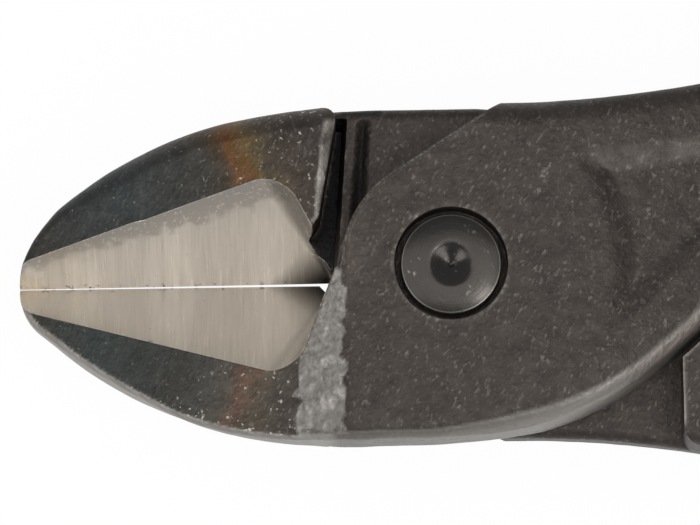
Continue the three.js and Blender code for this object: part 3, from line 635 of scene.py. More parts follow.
class LeverShape:
    """Signed distance to one lever. The sloping face of its jaw looks along +Z or -Z, as facing says."""

    FACE_ROUND = 0.3 * MM
    FRONT_BROW = mm(0.4, 0.4)
    REAR_BROW = mm(0.3, 1.8)
    BROW_RUN = mm(-26, -19)
    SHOULDER_ROUND = 1.2 * MM
    SHOULDER_FROM = -5 * MM
    LAP_EDGE_ROUND = 0.8 * MM
    GROOVE_STOP = mm(0.5, 0.6)
    FALL_BLEND = 3 * MM
    RAMP_BLEND = 0.12 * MM
    LAP_BREAK = 0.2 * MM
    STEP_BLEND = 2 * MM
    SEAT_BREAK = 0.05 * MM
    BACK_RUNOUT = 0.3 * MM
    GROOVES = (mm(-13, -6.9, 2.2, 0.35), mm(-6.5, -5.3, 0.25, 0.6))
    GROOVE_LEAN = 0.08
    CHAMFER_RUN = mm(3.5, 8)
    CHAMFER_NARROW = 0.4
    DRAFT_FROM = -23 * MM
    DRAFT_RUN = 8 * MM
    FRONT_CHEEK_SWELL = mm(-9, -5, -2, 4)
    REAR_CHEEK_SWELL = mm(-9, -5, 1, 6)
    FLANK_SWELL = mm(-20, -16, -8, -4)
    LEAN_RUN = mm(-20, -16, 2, 8)
    FRONT_NOSE_SWELL = mm(-26.6, -24, -23, -13)
    REAR_NOSE_SWELL = mm(-26.6, -24, -19.5, -10)
    SWELL_FROM, SWELL_RUN = 1 * MM, 2 * MM
    HEEL_RUN = mm(-2, 5)

    def __init__(self, handle, facing, axes):
        self.head, self.rivet, self.facing = sizes("head"), sizes("rivet"), facing
        plans = Plans(handle)
        xs, ys = axes[:2]
        swell = self.swell(xs[:, None], ys[None, :])
        self.lever = PlanTable(plans.lever(), xs, ys, swell)
        self.forging = PlanTable(plans.forging(), xs, ys, swell)
        self.jaw = PlanTable(plans.jaw(facing), xs, ys, swell)
        self.web = PlanTable(plans.web(), xs, ys)
        self.shoulder, self.reach = plans.shoulder, plans.reach
        self.half = self.head.head_thickness / 2
        self.lap = self.head.lap_gap / 2

    def swell(self, x, y):
        """How far the forged side of the jaw and the cheek stands out from its outline."""
        head = self.head
        if self.facing > 0:
            parts = (
                (head.front_nose_swell, self.FRONT_NOSE_SWELL),
                (head.front_flank_swell, self.FLANK_SWELL),
                (head.front_cheek_swell, self.FRONT_CHEEK_SWELL),
            )
        else:
            parts = (
                (head.rear_nose_swell, self.REAR_NOSE_SWELL),
                (head.rear_cheek_swell, self.REAR_CHEEK_SWELL),
            )
        total = sum(amount * stretch(x, run) for amount, run in parts)
        return total * self.outside(y)

    def outside(self, y):
        """Towards the forged side, away from the cutting edge."""
        return rise(-y, self.SWELL_FROM, self.SWELL_RUN)

    def side(self, x, y, z):
        """Outside the forged sides, which lean in a little. The front one is undercut."""
        lean = self.head.draft * np.abs(z) * rise(x, self.DRAFT_FROM, self.DRAFT_RUN)
        if self.facing > 0:
            lean = lean - self.head.front_side_lean * z * stretch(x, self.LEAN_RUN) * self.outside(y)
        return self.forging(x, y) + lean

    def outer_round(self, x):
        """Rounding of the outer edges, which grows along the heel."""
        head = self.head
        start, end = self.HEEL_RUN
        return head.edge_round + (head.heel_round - head.edge_round) * rise(x, start, end - start)

    def brow(self, x):
        """Rounding between the jaw's face and its outer side."""
        return np.interp(x, self.BROW_RUN, self.FRONT_BROW if self.facing > 0 else self.REAR_BROW)

    def behind_shoulder(self, x, y):
        """Behind the line of the jaw's shoulder."""
        return math.sin(self.shoulder) * x + math.cos(self.shoulder) * y + self.reach

    def shoulder_chamfer(self, y):
        """Broken edge of the shoulder, which narrows towards the cutting edge."""
        widest = self.head.shoulder_chamfer
        return np.interp(-y, self.CHAMFER_RUN, (self.CHAMFER_NARROW * widest, widest))

    def face(self, x, z):
        """Above the sloping face of the jaw."""
        head = self.head
        height = self.facing * z - head.edge_level - head.nose_rise
        return math.cos(head.front_slope) * height - math.sin(head.front_slope) * (x + head.tip_reach)

    def ramp(self, x, z):
        """Above the ramp between the jaw and the cheek."""
        head = self.head
        height = self.facing * z - self.half
        return math.cos(head.ramp_angle) * height - math.sin(head.ramp_angle) * (x + head.ramp_from)

    def ground(self, x, y, z):
        """Inside the ground valleys on both sides of the cutting edges."""
        front = round_max(self.valley_end(x, y), self.facet(x, y, z), self.runout(y))
        back = round_max(x + self.head.back_valley_end, self.back_facet(x, y, z), self.BACK_RUNOUT)
        return np.minimum(front, back)

    def aside(self, x, y):
        """Distance aside from the cutting edge."""
        return np.abs(y) - edge_gap(self.head, x) / 2

    def facet(self, x, y, z):
        turn = self.head.facet_angle
        height = self.facing * z - self.head.edge_level
        return math.sin(turn) * self.aside(x, y) - math.cos(turn) * height

    def back_facet(self, x, y, z):
        turn = self.head.back_facet_angle
        height = self.facing * z - self.head.edge_level
        return math.sin(turn) * self.aside(x, y) + math.cos(turn) * height

    def valley_end(self, x, y):
        """Beyond the slanting end of the ground valley."""
        head = self.head
        slant = head.front_valley_slant if self.facing > 0 else head.rear_valley_slant
        return (x + head.valley_end + slant * np.abs(y)) / math.hypot(1, slant)

    def runout(self, y):
        return self.head.runout_root + self.head.runout_growth * np.abs(y)

    def cheek_top(self, x, y, z):
        """Above the face of the cheek, which falls towards the insulation and has a recess there."""
        head = self.head
        turn = head.heel_angle
        fall = math.sin(turn) * (x - head.heel_from) + math.cos(turn) * (z - self.half)
        recess = round_max(self.web(x, y), head.boss_radius - np.hypot(x, y), head.web_corner)
        sunk = head.web_depth * ease(-recess / head.web_wall)
        top = round_max(z - self.half, fall, self.FALL_BLEND) + sunk
        return np.minimum(top, z - head.tang_thickness / 2)

    def lap_level(self, x, y):
        """Lap face of the cheek, with the grooves that relieve the rear one beside the jaw's shoulder."""
        level = self.lap
        if self.facing < 0:
            stop, run = self.GROOVE_STOP
            kept = rise(-self.forging(x, y), stop, run) * (y < 0)
            across = x + self.GROOVE_LEAN * y
            for start, end, depth, wall in self.GROOVES:
                level = level + kept * depth * ease(np.minimum(across - start, end - across) / wall)
        return level

    def seat(self, x, y, z):
        """Inside the bore and the seat of the rivet's head or tail."""
        rivet = self.rivet
        top = self.half - rivet.recess
        radius = np.hypot(x, y)
        bore = rivet.shank_diameter / 2 + rivet.clearance
        if self.facing > 0:
            ring = rivet.head_diameter / 2 + rivet.ring_gap
            floor = top - rivet.head_height - rivet.clearance
            return np.minimum(radius - bore, np.maximum(radius - ring, floor - z))
        rim = rivet.tail_diameter / 2 + rivet.clearance
        floor = top - rivet.tail_height - rivet.clearance
        return radius - np.interp(z, (floor, top), (bore, rim))

    def notch(self, x, y):
        """Inside the relief notch at the root of the cutting edge."""
        head = self.head
        depth = head.front_notch_depth if self.facing > 0 else head.rear_notch_depth
        steep = 2 * depth / head.notch_width
        wedge = (steep * np.abs(x + head.notch_at) - depth - y) / math.hypot(1, steep)
        return np.maximum(wedge, y - depth)

    def __call__(self, x, y, z):
        head, half = self.head, self.half
        side = self.side(x, y, z)
        own = self.lever(x, y)
        jaw = self.jaw(x, y)
        top = self.cheek_top(x, y, z)
        tang_low = np.maximum(head.tang_step - x, -head.tang_thickness / 2 - z)
        tang_low = np.maximum(tang_low, head.swing_clearance - self.lever(x, -y))
        low = np.minimum(self.lap_level(x, y) - z, tang_low)
        past_step = rise(x, head.tang_step, self.STEP_BLEND)
        low_round = self.LAP_BREAK + (head.edge_round - self.LAP_BREAK) * past_step
        cheek = round_max(side, top, self.outer_round(x))
        cheek = np.maximum(cheek, chamfer_max(own, top, head.cheek_chamfer))
        cheek = np.maximum(cheek, round_max(np.maximum(side, own), low, low_round))
        shank = np.maximum(jaw, round_max(side, np.abs(z) - half, head.edge_round))
        face = self.face(x, z)
        corner = round_max(self.behind_shoulder(x, y), side, self.SHOULDER_ROUND)
        shank = np.where(y < self.SHOULDER_FROM, np.maximum(shank, corner), shank)
        if self.facing < 0:
            cheek = np.maximum(cheek, round_max(side, low, self.LAP_EDGE_ROUND))
            shank = np.maximum(shank, chamfer_max(jaw, face, self.shoulder_chamfer(y)))
        else:
            face = round_min(face, self.ramp(x, z), self.RAMP_BLEND)
        body = round_max(np.minimum(cheek, shank), face, self.FACE_ROUND)
        body = np.maximum(body, round_max(side, face, self.brow(x)))
        body = np.maximum(body, -self.ground(x, y, z))
        body = np.maximum(body, -self.notch(x, y))
        return round_max(body, -self.seat(x, y, z), self.SEAT_BREAK)


def slopes(shape, points):
    """Unit gradients of a distance at points."""
    base = shape(*points.T)
    rows = [shape(*(points + offset).T) - base for offset in np.eye(3) * SLOPE_STEP]
    gradient = np.stack(rows, 1)
    return gradient / np.maximum(np.linalg.norm(gradient, axis=1, keepdims=True), SMALLEST_SLOPE)


def crossings(shape, axes, values, axis):
    """Grid edges along one axis that the surface crosses.

    Gives their lower corners, the points on the surface and whether it faces along the axis.
    """
    low, high = [slice(None)] * 3, [slice(None)] * 3
    low[axis], high[axis] = slice(None, -1), slice(1, None)
    before, after = values[tuple(low)] < 0, values[tuple(high)] < 0
    corners = np.argwhere(before != after)
    outward = before[tuple(corners.T)]
    start = np.stack([axes[k][corners[:, k]] for k in range(3)], 1)
    end = start.copy()
    end[:, axis] = axes[axis][corners[:, axis] + 1]
    at_start, at_end = shape(*start.T), shape(*end.T)
    for _ in range(CROSSING_TRIES):
        part = (at_start / (at_start - at_end))[:, None]
        points = start + (end - start) * np.clip(part, *CROSSING_ENDS)
        here = shape(*points.T)
        first = (here < 0) == (at_start < 0)
        start[first], at_start[first] = points[first], here[first]
        end[~first], at_end[~first] = points[~first], here[~first]
    part = (at_start / (at_start - at_end))[:, None]
    return corners, start + (end - start) * part, outward


def surface_mesh(shape, axes, slab=48):
    """Points and faces of a shape's surface, with its sharp edges kept, by dual contouring."""
    xs, ys, zs = axes
    values = np.empty((len(xs), len(ys), len(zs)), np.float32)
    for first in range(0, len(xs), slab):
        part = slice(first, first + slab)
        values[part] = shape(xs[part, None, None], ys[None, :, None], zs[None, None, :])
    cells = tuple(len(axis) - 1 for axis in axes)
    ids, hits, quads, outward = [], [], [], []
    for axis in range(3):
        corners, points, facing = crossings(shape, axes, values, axis)
        across, along = (axis + 1) % 3, (axis + 2) % 3
        ring = []
        for step_a, step_b in ((-1, -1), (0, -1), (0, 0), (-1, 0)):
            cell = corners.copy()
            cell[:, across] += step_a
            cell[:, along] += step_b
            ring.append(np.ravel_multi_index(tuple(cell.T), cells))
        ids.extend(ring)
        hits.extend([points] * 4)
        quads.append(np.stack(ring, 1))
        outward.append(facing)
    used, place = np.unique(np.concatenate(ids), return_inverse=True)
    hits = np.concatenate(hits)
    normals = slopes(shape, hits)
    amount = np.bincount(place, minlength=len(used))

    def gather(values):
        return np.bincount(place, weights=values, minlength=len(used))

    middle = np.stack([gather(hits[:, k]) for k in range(3)], 1) / amount[:, None]
    offset = np.einsum("ij,ij->i", normals, hits - middle[place])
    matrix = np.empty((len(used), 3, 3))
    for row in range(3):
        for column in range(3):
            matrix[:, row, column] = gather(normals[:, row] * normals[:, column])
    matrix += np.eye(3) * MIDDLE_PULL
    right = np.stack([gather(normals[:, k] * offset) for k in range(3)], 1)
    points = middle + np.linalg.solve(matrix, right[..., None])[..., 0]
    cell = np.unravel_index(used, cells)
    for k in range(3):
        points[:, k] = np.clip(points[:, k], axes[k][cell[k]], axes[k][cell[k] + 1])
    faces = np.searchsorted(used, np.concatenate(quads))
    inward = ~np.concatenate(outward)
    faces[inward] = faces[inward, ::-1]
    return points, faces


def piece_object(name, points, faces, material, sharp=None):
    """A mesh piece in its place, smooth but for edges sharper than the given angle."""
    mesh = bpy.data.meshes.new(name)
    mesh.from_pydata(np.asarray(points).tolist(), [], [list(face) for face in faces])
    mesh.materials.append(material)
    return finished(name, mesh, sharp)


def finished(name, mesh, sharp=None):
    """The same from a mesh that is already made."""
    mesh.validate()
    mesh.shade_smooth()
    if sharp is not None:
        mesh.set_sharp_from_angle(angle=math.radians(sharp))
    mesh.update()
    piece = bpy.data.objects.new(name, mesh)
    bpy.context.scene.collection.objects.link(piece)
    return piece


def keep_values(mesh, name, values):
    """Stores one number for each point of a mesh, for its material to read."""
    stored = mesh.attributes.new(name, "FLOAT", "POINT")
    stored.data.foreach_set("value", np.asarray(values, np.float32))


def placed(points, facing):
    """Moves points from a lever's own frame to their place in the tool."""
    points = np.asarray(points, float).reshape(-1, 3)
    return np.clip(points * (1, facing, facing) + np.array(PIVOT), *CAD_BOX)


def dress(piece, half, slot, *nodes):
    """Ties a finished piece to its body and hides the solids that it stands for."""
    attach(piece, half + "_half")
    if nodes:
        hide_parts(*nodes)


class Nodes:
    """A node tree under construction."""

    def __init__(self, tree):
        self.tree = tree

    def node(self, kind, inputs=None, **settings):
        made = self.tree.nodes.new(kind)
        for key, value in settings.items():
            setattr(made, key, value)
        for key, value in (inputs or {}).items():
            self.put(made.inputs[key], value)
        return made

    def put(self, socket, value):
        """Links a socket to another one, or sets its value."""
        if isinstance(value, bpy.types.NodeSocket):
            self.tree.links.new(value, socket)
        else:
            socket.default_value = value

    def math(self, operation, a, b=0.0):
        return self.node("ShaderNodeMath", {0: a, 1: b}, operation=operation).outputs[0]

    def times(self, first, *others):
        """Product of several values."""
        for other in others:
            first = self.math("MULTIPLY", first, other)
        return first


def blank_material(name):
    """A material whose node tree is still empty."""
    material = bpy.data.materials.new(name)
    material.use_nodes = True
    material.node_tree.nodes.clear()
    return material


class Paint(Nodes):
    """A procedural material under construction."""

    def __init__(self, name):
        self.material = blank_material(name)
        super().__init__(self.material.node_tree)
        self.shader = self.node("ShaderNodeBsdfPrincipled")
        self.node("ShaderNodeOutputMaterial", {"Surface": self.shader.outputs[0]})
        self.place = self.node("ShaderNodeTexCoord").outputs["Object"]

    def set(self, **inputs):
        """Sets sockets of the shader, named with underscores for spaces."""
        for key, value in inputs.items():
            self.put(self.shader.inputs[key.replace("_", " ")], value)

    def attribute(self, name):
        return self.node("ShaderNodeAttribute", attribute_name=name).outputs["Fac"]

    def remap(self, value, low, high, to_low=0.0, to_high=1.0):
        inputs = {"Value": value, "From Min": low, "From Max": high, "To Min": to_low, "To Max": to_high}
        return self.node("ShaderNodeMapRange", inputs).outputs[0]

    def stretched(self, scale=(1, 1, 1), location=(0, 0, 0)):
        inputs = {"Vector": self.place, "Scale": scale, "Location": location}
        return self.node("ShaderNodeMapping", inputs).outputs[0]

    def leaning(self, stretch, turn):
        """Coordinates turned in plan and then drawn out along that direction."""
        inputs = {"Vector": self.place, "Scale": (stretch, 1, 1), "Rotation": (0, 0, turn)}
        return self.node("ShaderNodeMapping", inputs, vector_type="TEXTURE").outputs[0]

    def noise(self, scale, detail=2.0, roughness=0.5, vector=None):
        inputs = {"Vector": vector or self.place, "Scale": scale, "Detail": detail, "Roughness": roughness}
        return self.node("ShaderNodeTexNoise", inputs).outputs["Fac"]

    def mix(self, part, a, b, mode="MIX"):
        made = self.node("ShaderNodeMix", {0: part, 6: a, 7: b}, data_type="RGBA", blend_type=mode)
        return made.outputs[2]

    def ramp(self, value, stops):
        made = self.node("ShaderNodeValToRGB", {"Fac": value})
        elements = made.color_ramp.elements
        while len(elements) < len(stops):
            elements.new(1.0)
        for element, (position, tone) in zip(elements, stops):
            element.position = position
            element.color = tone
        return made.outputs["Color"]

    def graph(self, value, rows):
        """A number read from rows of place and level."""
        return self.ramp(value, [(place, (level, level, level, 1)) for place, level in rows])

    def along(self, axis):
        """One coordinate of the surface, from the pivot."""
        parts = self.node("ShaderNodeSeparateXYZ", {0: self.stretched(location=-PIVOT)})
        return parts.outputs[axis]

    def bump(self, height, distance, strength=1.0, base=None):
        inputs = {"Height": height, "Distance": distance, "Strength": strength}
        if base is not None:
            inputs["Normal"] = base
        return self.node("ShaderNodeBump", inputs).outputs["Normal"]


class ForgedPaint(Paint):
    """Dark phosphated forging with bright ground facets, grey sides and a rough ramp. Painted light and
    shade in it: the two facets' tones, glints, shade in the grooves, a dark reflection at the facets' root,
    highlights on the recess wall and the shoulder, and grey only on the sides that face the lamps.
    """

    # Nose to joint, and the share of pale flecks and of painted glints along it
    JAW = mm(-27, -4)
    FLECKS = ((0.0, 0.35), (0.45, 0.4), (0.65, 1.0), (1.0, 1.0))
    DOTS = (
        (0.0, 0.5),
        (0.2, 0.4),
        (0.4, 0.35),
        (0.6, 0.6),
        (0.72, 1.0),
        (0.82, 1.0),
        (0.88, 0.25),
        (1.0, 0.05),
    )

    # Nicks near the edge, stains at the nose and a painted dark reflection at the root: where they begin
    # and are full
    NICKS, STAINS, DIRT = mm(0.3, 0.12), mm(-20, -26), mm(-11.6, -7.8)
    DIRT_FALL = 380.0
    SAND_DEPTH, HAMMER_DEPTH, LINE_DEPTH = 0.03 * MM, 0.1 * MM, 0.003 * MM

    # Heat tints along the same stretch, before the plain forging at its end, and how they wander and lean
    HEAT_JAG, HEAT_LEAN = 4 * MM, 0.45
    TINTS = {
        "front": (
            (0.0, 62, 57, 52),
            (0.3, 57, 63, 61),
            (0.56, 61, 61, 58),
            (0.66, 74, 72, 67),
            (0.71, 86, 82, 74),
            (0.75, 104, 80, 67),
            (0.79, 88, 80, 68),
            (0.84, 80, 74, 66),
            (0.9, 76, 69, 64),
        ),
        "rear": (
            (0.0, 60, 55, 50),
            (0.2, 58, 60, 58),
            (0.42, 58, 63, 63),
            (0.64, 64, 62, 58),
            (0.71, 74, 63, 50),
            (0.755, 106, 72, 42),
            (0.79, 100, 84, 54),
            (0.84, 80, 71, 58),
            (0.9, 71, 63, 57),
        ),
    }

    def __init__(self, half):
        super().__init__(half + "_forged_steel")
        self.half = half
        self.finish = sizes("finish")
        self.grain = self.noise(4200, 4, 0.62)
        self.coarse = self.noise(800, 2, 0.5)
        self.broad = self.noise(260, 3, 0.55)
        self.blotch = self.noise(1100, 4, 0.6)
        self.drawn = self.noise(4600, 2, 0.5, self.leaning(1.7, 1.1))
        self.lines = self.noise(2200, 3, 0.65, self.stretched((4.0, 0.12, 0.12)))
        self.on_wall = self.attribute("wall")

    def tinted(self):
        """Uneven dark skin with the heat tints of the jaw."""
        stops = [(place, screen(*tone)) for place, *tone in self.TINTS[self.half]]
        stops.append((1.0, self.finish.forging))
        jagged = self.times(self.math("SUBTRACT", self.noise(500, 3, 0.5), 0.5), self.HEAT_JAG)
        aside = self.times(self.math("ABSOLUTE", self.along("Y")), self.HEAT_LEAN)
        heat = self.math("ADD", self.math("ADD", self.along("X"), aside), jagged)
        tint = self.ramp(self.remap(heat, *self.JAW), stops)
        skin = self.mix(self.remap(self.broad, 0.3, 0.7, 0, 0.25), tint, screen(54, 50, 47))
        uneven = self.math("ADD", self.blotch, self.times(self.grain, 0.5))
        light = self.remap(uneven, 0.5, 1.0, 0.72, 1.28)
        light = self.node("ShaderNodeCombineXYZ", {0: light, 1: light, 2: light}).outputs[0]
        return self.mix(1.0, skin, light, "MULTIPLY")

    def specked(self, skin):
        """Exposed flecks and painted glints, bright dots that crowd near the root of the jaw."""
        place = self.remap(self.along("X"), *self.JAW)
        dusty = self.graph(place, self.FLECKS)
        crowded = self.math("MAXIMUM", self.graph(place, self.DOTS), self.attribute("dust"))
        patchy = self.remap(self.coarse, 0.4, 0.6, 0.25, 1)
        flecks = self.times(self.remap(self.drawn, 0.57, 0.7, 0, 0.3), patchy, dusty)
        skin = self.mix(flecks, skin, self.finish.speck)
        # Painted glints: bright dots mixed into the colour, crowded where the share is high
        dots = self.math("ADD", self.noise(3600, 1, 0.5), self.times(crowded, 0.05))
        glints = self.times(self.remap(dots, 0.71, 0.8), patchy, crowded)
        return self.mix(glints, skin, screen(188, 183, 175))

    def skin(self):
        """Everything but the ground facets."""
        finish = self.finish
        skin = self.specked(self.tinted())
        # Painted shade: near black mixed into the floors of the rear lever's relief grooves
        skin = self.mix(self.attribute("grime"), skin, screen(24, 22, 21))
        flaky = self.remap(self.noise(2600, 3, 0.6), 0.32, 0.68)
        ramp = self.mix(flaky, finish.ramp, screen(126, 122, 118))
        skin = self.mix(self.attribute("ramp"), skin, ramp)
        streaks = self.noise(900, 3, 0.6, self.stretched((0.12, 0.12, 5.0)))
        wall = self.mix(self.remap(streaks, 0.35, 0.65, 0.3, 0.7), finish.wall, screen(118, 114, 110))
        # Grey belt-ground sides, laid only on the sides that face the lamps, so partly a painted highlight
        skin = self.mix(self.on_wall, skin, wall)
        # Wear and painted highlights: worn edges, and the painted highlights on the recess wall and the
        # shoulder's chamfer, mixed towards the speck colour
        worn = self.times(self.attribute("wear"), self.remap(self.coarse, 0.3, 0.6, 0.2, 1))
        return self.mix(worn, skin, finish.speck)

    def facet(self):
        """Ground facet with fine lines, a dull band with painted glints, nicks along its edge, stains at
        the nose and a painted dark reflection at the root.
        """
        # Painted light and shade: each lever's facet has its own tone, darker on the front one
        tone = getattr(self.finish, self.half + "_facet")
        bands = self.noise(420, 2, 0.5, self.stretched((2.0, 0.1, 0.1)))
        facet = self.mix(self.remap(self.lines, 0.3, 0.7, 0, 0.2), tone, screen(150, 142, 132))
        facet = self.mix(self.remap(bands, 0.35, 0.65, 0, 0.16), facet, screen(140, 133, 124))
        facet = self.mix(self.remap(self.grain, 0.66, 0.74, 0, 0.5), facet, screen(110, 103, 96))
        # Painted glints: bright sparkles mixed into the dull band
        bare = self.remap(self.drawn, 0.58, 0.68, 0, 0.8)
        dull = self.mix(bare, self.finish.band, screen(226, 221, 212))
        facet = self.mix(self.attribute("band"), facet, dull)
        off_edge = self.math("ABSOLUTE", self.along("Y"))
        at_edge = self.remap(off_edge, *self.NICKS)
        nicks = self.times(self.remap(self.noise(2600, 1, 0.5), 0.64, 0.7), at_edge, 0.7)
        facet = self.mix(nicks, facet, screen(70, 62, 54))
        at_nose = self.remap(self.along("X"), *self.STAINS)
        stained = self.times(at_nose, self.remap(self.broad, 0.4, 0.6), 0.5)
        facet = self.mix(stained, facet, screen(196, 180, 152))
        # Painted reflection: the facets darken towards the root and the cutting edge, as if mirroring the
        # dark pocket there
        at_root = self.remap(self.along("X"), *self.DIRT)
        dirty = self.math("SUBTRACT", at_root, self.times(off_edge, self.DIRT_FALL))
        return self.mix(self.remap(dirty, 0, 0.8, 0, 0.85), facet, screen(62, 56, 51))

    def join(self):
        """The material, with its colour, roughness and relief."""
        on_facet = self.remap(self.attribute("ground"), 0.05, 0.02)
        bright = self.math("MAXIMUM", on_facet, self.times(self.on_wall, 0.6))
        self.set(Base_Color=self.mix(on_facet, self.skin(), self.facet()))
        self.set(Metallic=self.remap(bright, 0, 1, 0.75, 1.0))
        rough_skin = self.remap(self.grain, 0.3, 0.7, 0.4, 0.6)
        rough_facet = self.remap(self.lines, 0.3, 0.7, 0.26, 0.4)
        rough = {0: on_facet, 2: rough_skin, 3: rough_facet}
        self.set(Roughness=self.node("ShaderNodeMix", rough, data_type="FLOAT").outputs[0])
        dark = self.math("SUBTRACT", 1.0, on_facet)
        rough_grain = self.times(self.math("ADD", self.grain, self.drawn), dark)
        sand = self.bump(rough_grain, self.SAND_DEPTH)
        hammered = self.bump(self.times(self.blotch, dark), self.HAMMER_DEPTH, 1.0, sand)
        ground = self.times(self.lines, on_facet)
        self.set(Normal=self.bump(ground, self.LINE_DEPTH, 0.4, hammered))
        return self.material


def turned_steel():
    """Satin rivet with fine rings from turning."""
    finish = sizes("finish")
    paint = Paint("turned_rivet_steel")
    fine = paint.noise(2400, 3, 0.6)
    coarse = paint.noise(500, 3, 0.6)
    squares = [paint.math("POWER", paint.along(axis), 2.0) for axis in "XY"]
    radius = paint.math("SQRT", paint.math("ADD", *squares))
    turns = paint.node("ShaderNodeCombineXYZ", {0: paint.times(radius, 9000)}).outputs[0]
    rings = paint.noise(1.0, 2, 0.5, turns)
    tone = paint.mix(paint.remap(coarse, 0.35, 0.65, 0, 0.6), finish.rivet, screen(56, 54, 52))
    tone = paint.mix(paint.times(paint.remap(fine, 0.64, 0.74), 0.5), tone, finish.speck)
    tone = paint.mix(paint.attribute("wear"), tone, finish.speck)
    paint.set(Base_Color=tone, Metallic=0.9)
    paint.set(Roughness=paint.remap(rings, 0.3, 0.7, 0.18, 0.3))
    grain = paint.bump(fine, 0.02 * MM, 0.3)
    paint.set(Normal=paint.bump(rings, 0.008 * MM, 0.4, grain))
    return paint.material


def moulded(name, tone, shade, rough_low, rough_high, grain, depth):
    """Moulded plastic or rubber with an eroded texture and faint unevenness."""
    paint = Paint(name)
    texture = paint.noise(grain, 2, 0.6)
    cloud = paint.noise(90, 3, 0.5)
    dust = paint.noise(3000, 2, 0.6)
    base = paint.mix(paint.remap(cloud, 0.3, 0.7, 0, 0.5), tone, shade)
    paint.set(Base_Color=paint.mix(paint.remap(dust, 0.6, 0.8, 0, 0.12), base, (1, 1, 1, 1)))
    paint.set(Roughness=paint.remap(texture, 0.3, 0.7, rough_low, rough_high))
    paint.set(Normal=paint.bump(texture, depth))
    return paint.material


def lever_axes(handle):
    """Grid lines for a lever, fine over the head and wide along the tang."""
    head = sizes("head")
    pitch = -head.edge_level / EDGE_ROWS
    margin = SPARE_ROWS * pitch
    fine_end = sizes("grip").start + FINE_PAST_GRIP
    fine_x = np.arange(-head.tip_reach - margin, fine_end, pitch)
    tang_end = handle.line[-1, 0]
    wide_x = np.linspace(fine_end, tang_end, int((tang_end - fine_end) / TANG_STEP))
    lowest = -math.ceil((head.head_width / 2 + margin) / pitch)
    highest = math.ceil(FINE_OUTWARDS / pitch)
    fine_y = np.concatenate((np.arange(lowest, 0) * pitch - EDGE_SHIFT, np.arange(highest) * pitch))
    wide_y = np.arange(fine_y[-1] + OUTER_STEP, GRID_OUTWARDS, OUTER_STEP)
    levels = math.ceil((head.head_thickness / 2 + margin) / pitch)
    zs = np.arange(-levels, levels + 1) * pitch
    return np.concatenate((fine_x, wide_x)), np.concatenate((fine_y, wide_y)), zs


def lumps(points, pitch, seed):
    """Smooth random numbers from -1 to 1 over space, with lumps of the given size along each axis."""
    table = np.random.default_rng(seed).uniform(-1, 1, (LUMP_CELLS,) * 3)
    spot = points / np.asarray(pitch)
    low = np.floor(spot).astype(int)
    part = ease(spot - low)
    total = np.zeros(len(points))
    for corner in np.ndindex(2, 2, 2):
        weight = np.prod(np.where(corner, part, 1 - part), axis=1)
        total += weight * table[tuple(((low + corner) % LUMP_CELLS).T)]
    return total


def forged_relief(shape, points, normals, on_ramp, smooth):
    """Moves the points of a forging: faint unevenness on its faces and a rough, flaky ramp."""
    faint, ripple = (
        lumps(points, *broad) + FINE_LUMP_SHARE * lumps(points, *fine)
        for broad, fine in (FACE_LUMPS, RAMP_LUMPS)
    )
    depth = shape.head.forge_relief * faint * (1 - smooth) + shape.head.ramp_relief * ripple * on_ramp
    return points + normals * depth[:, None]


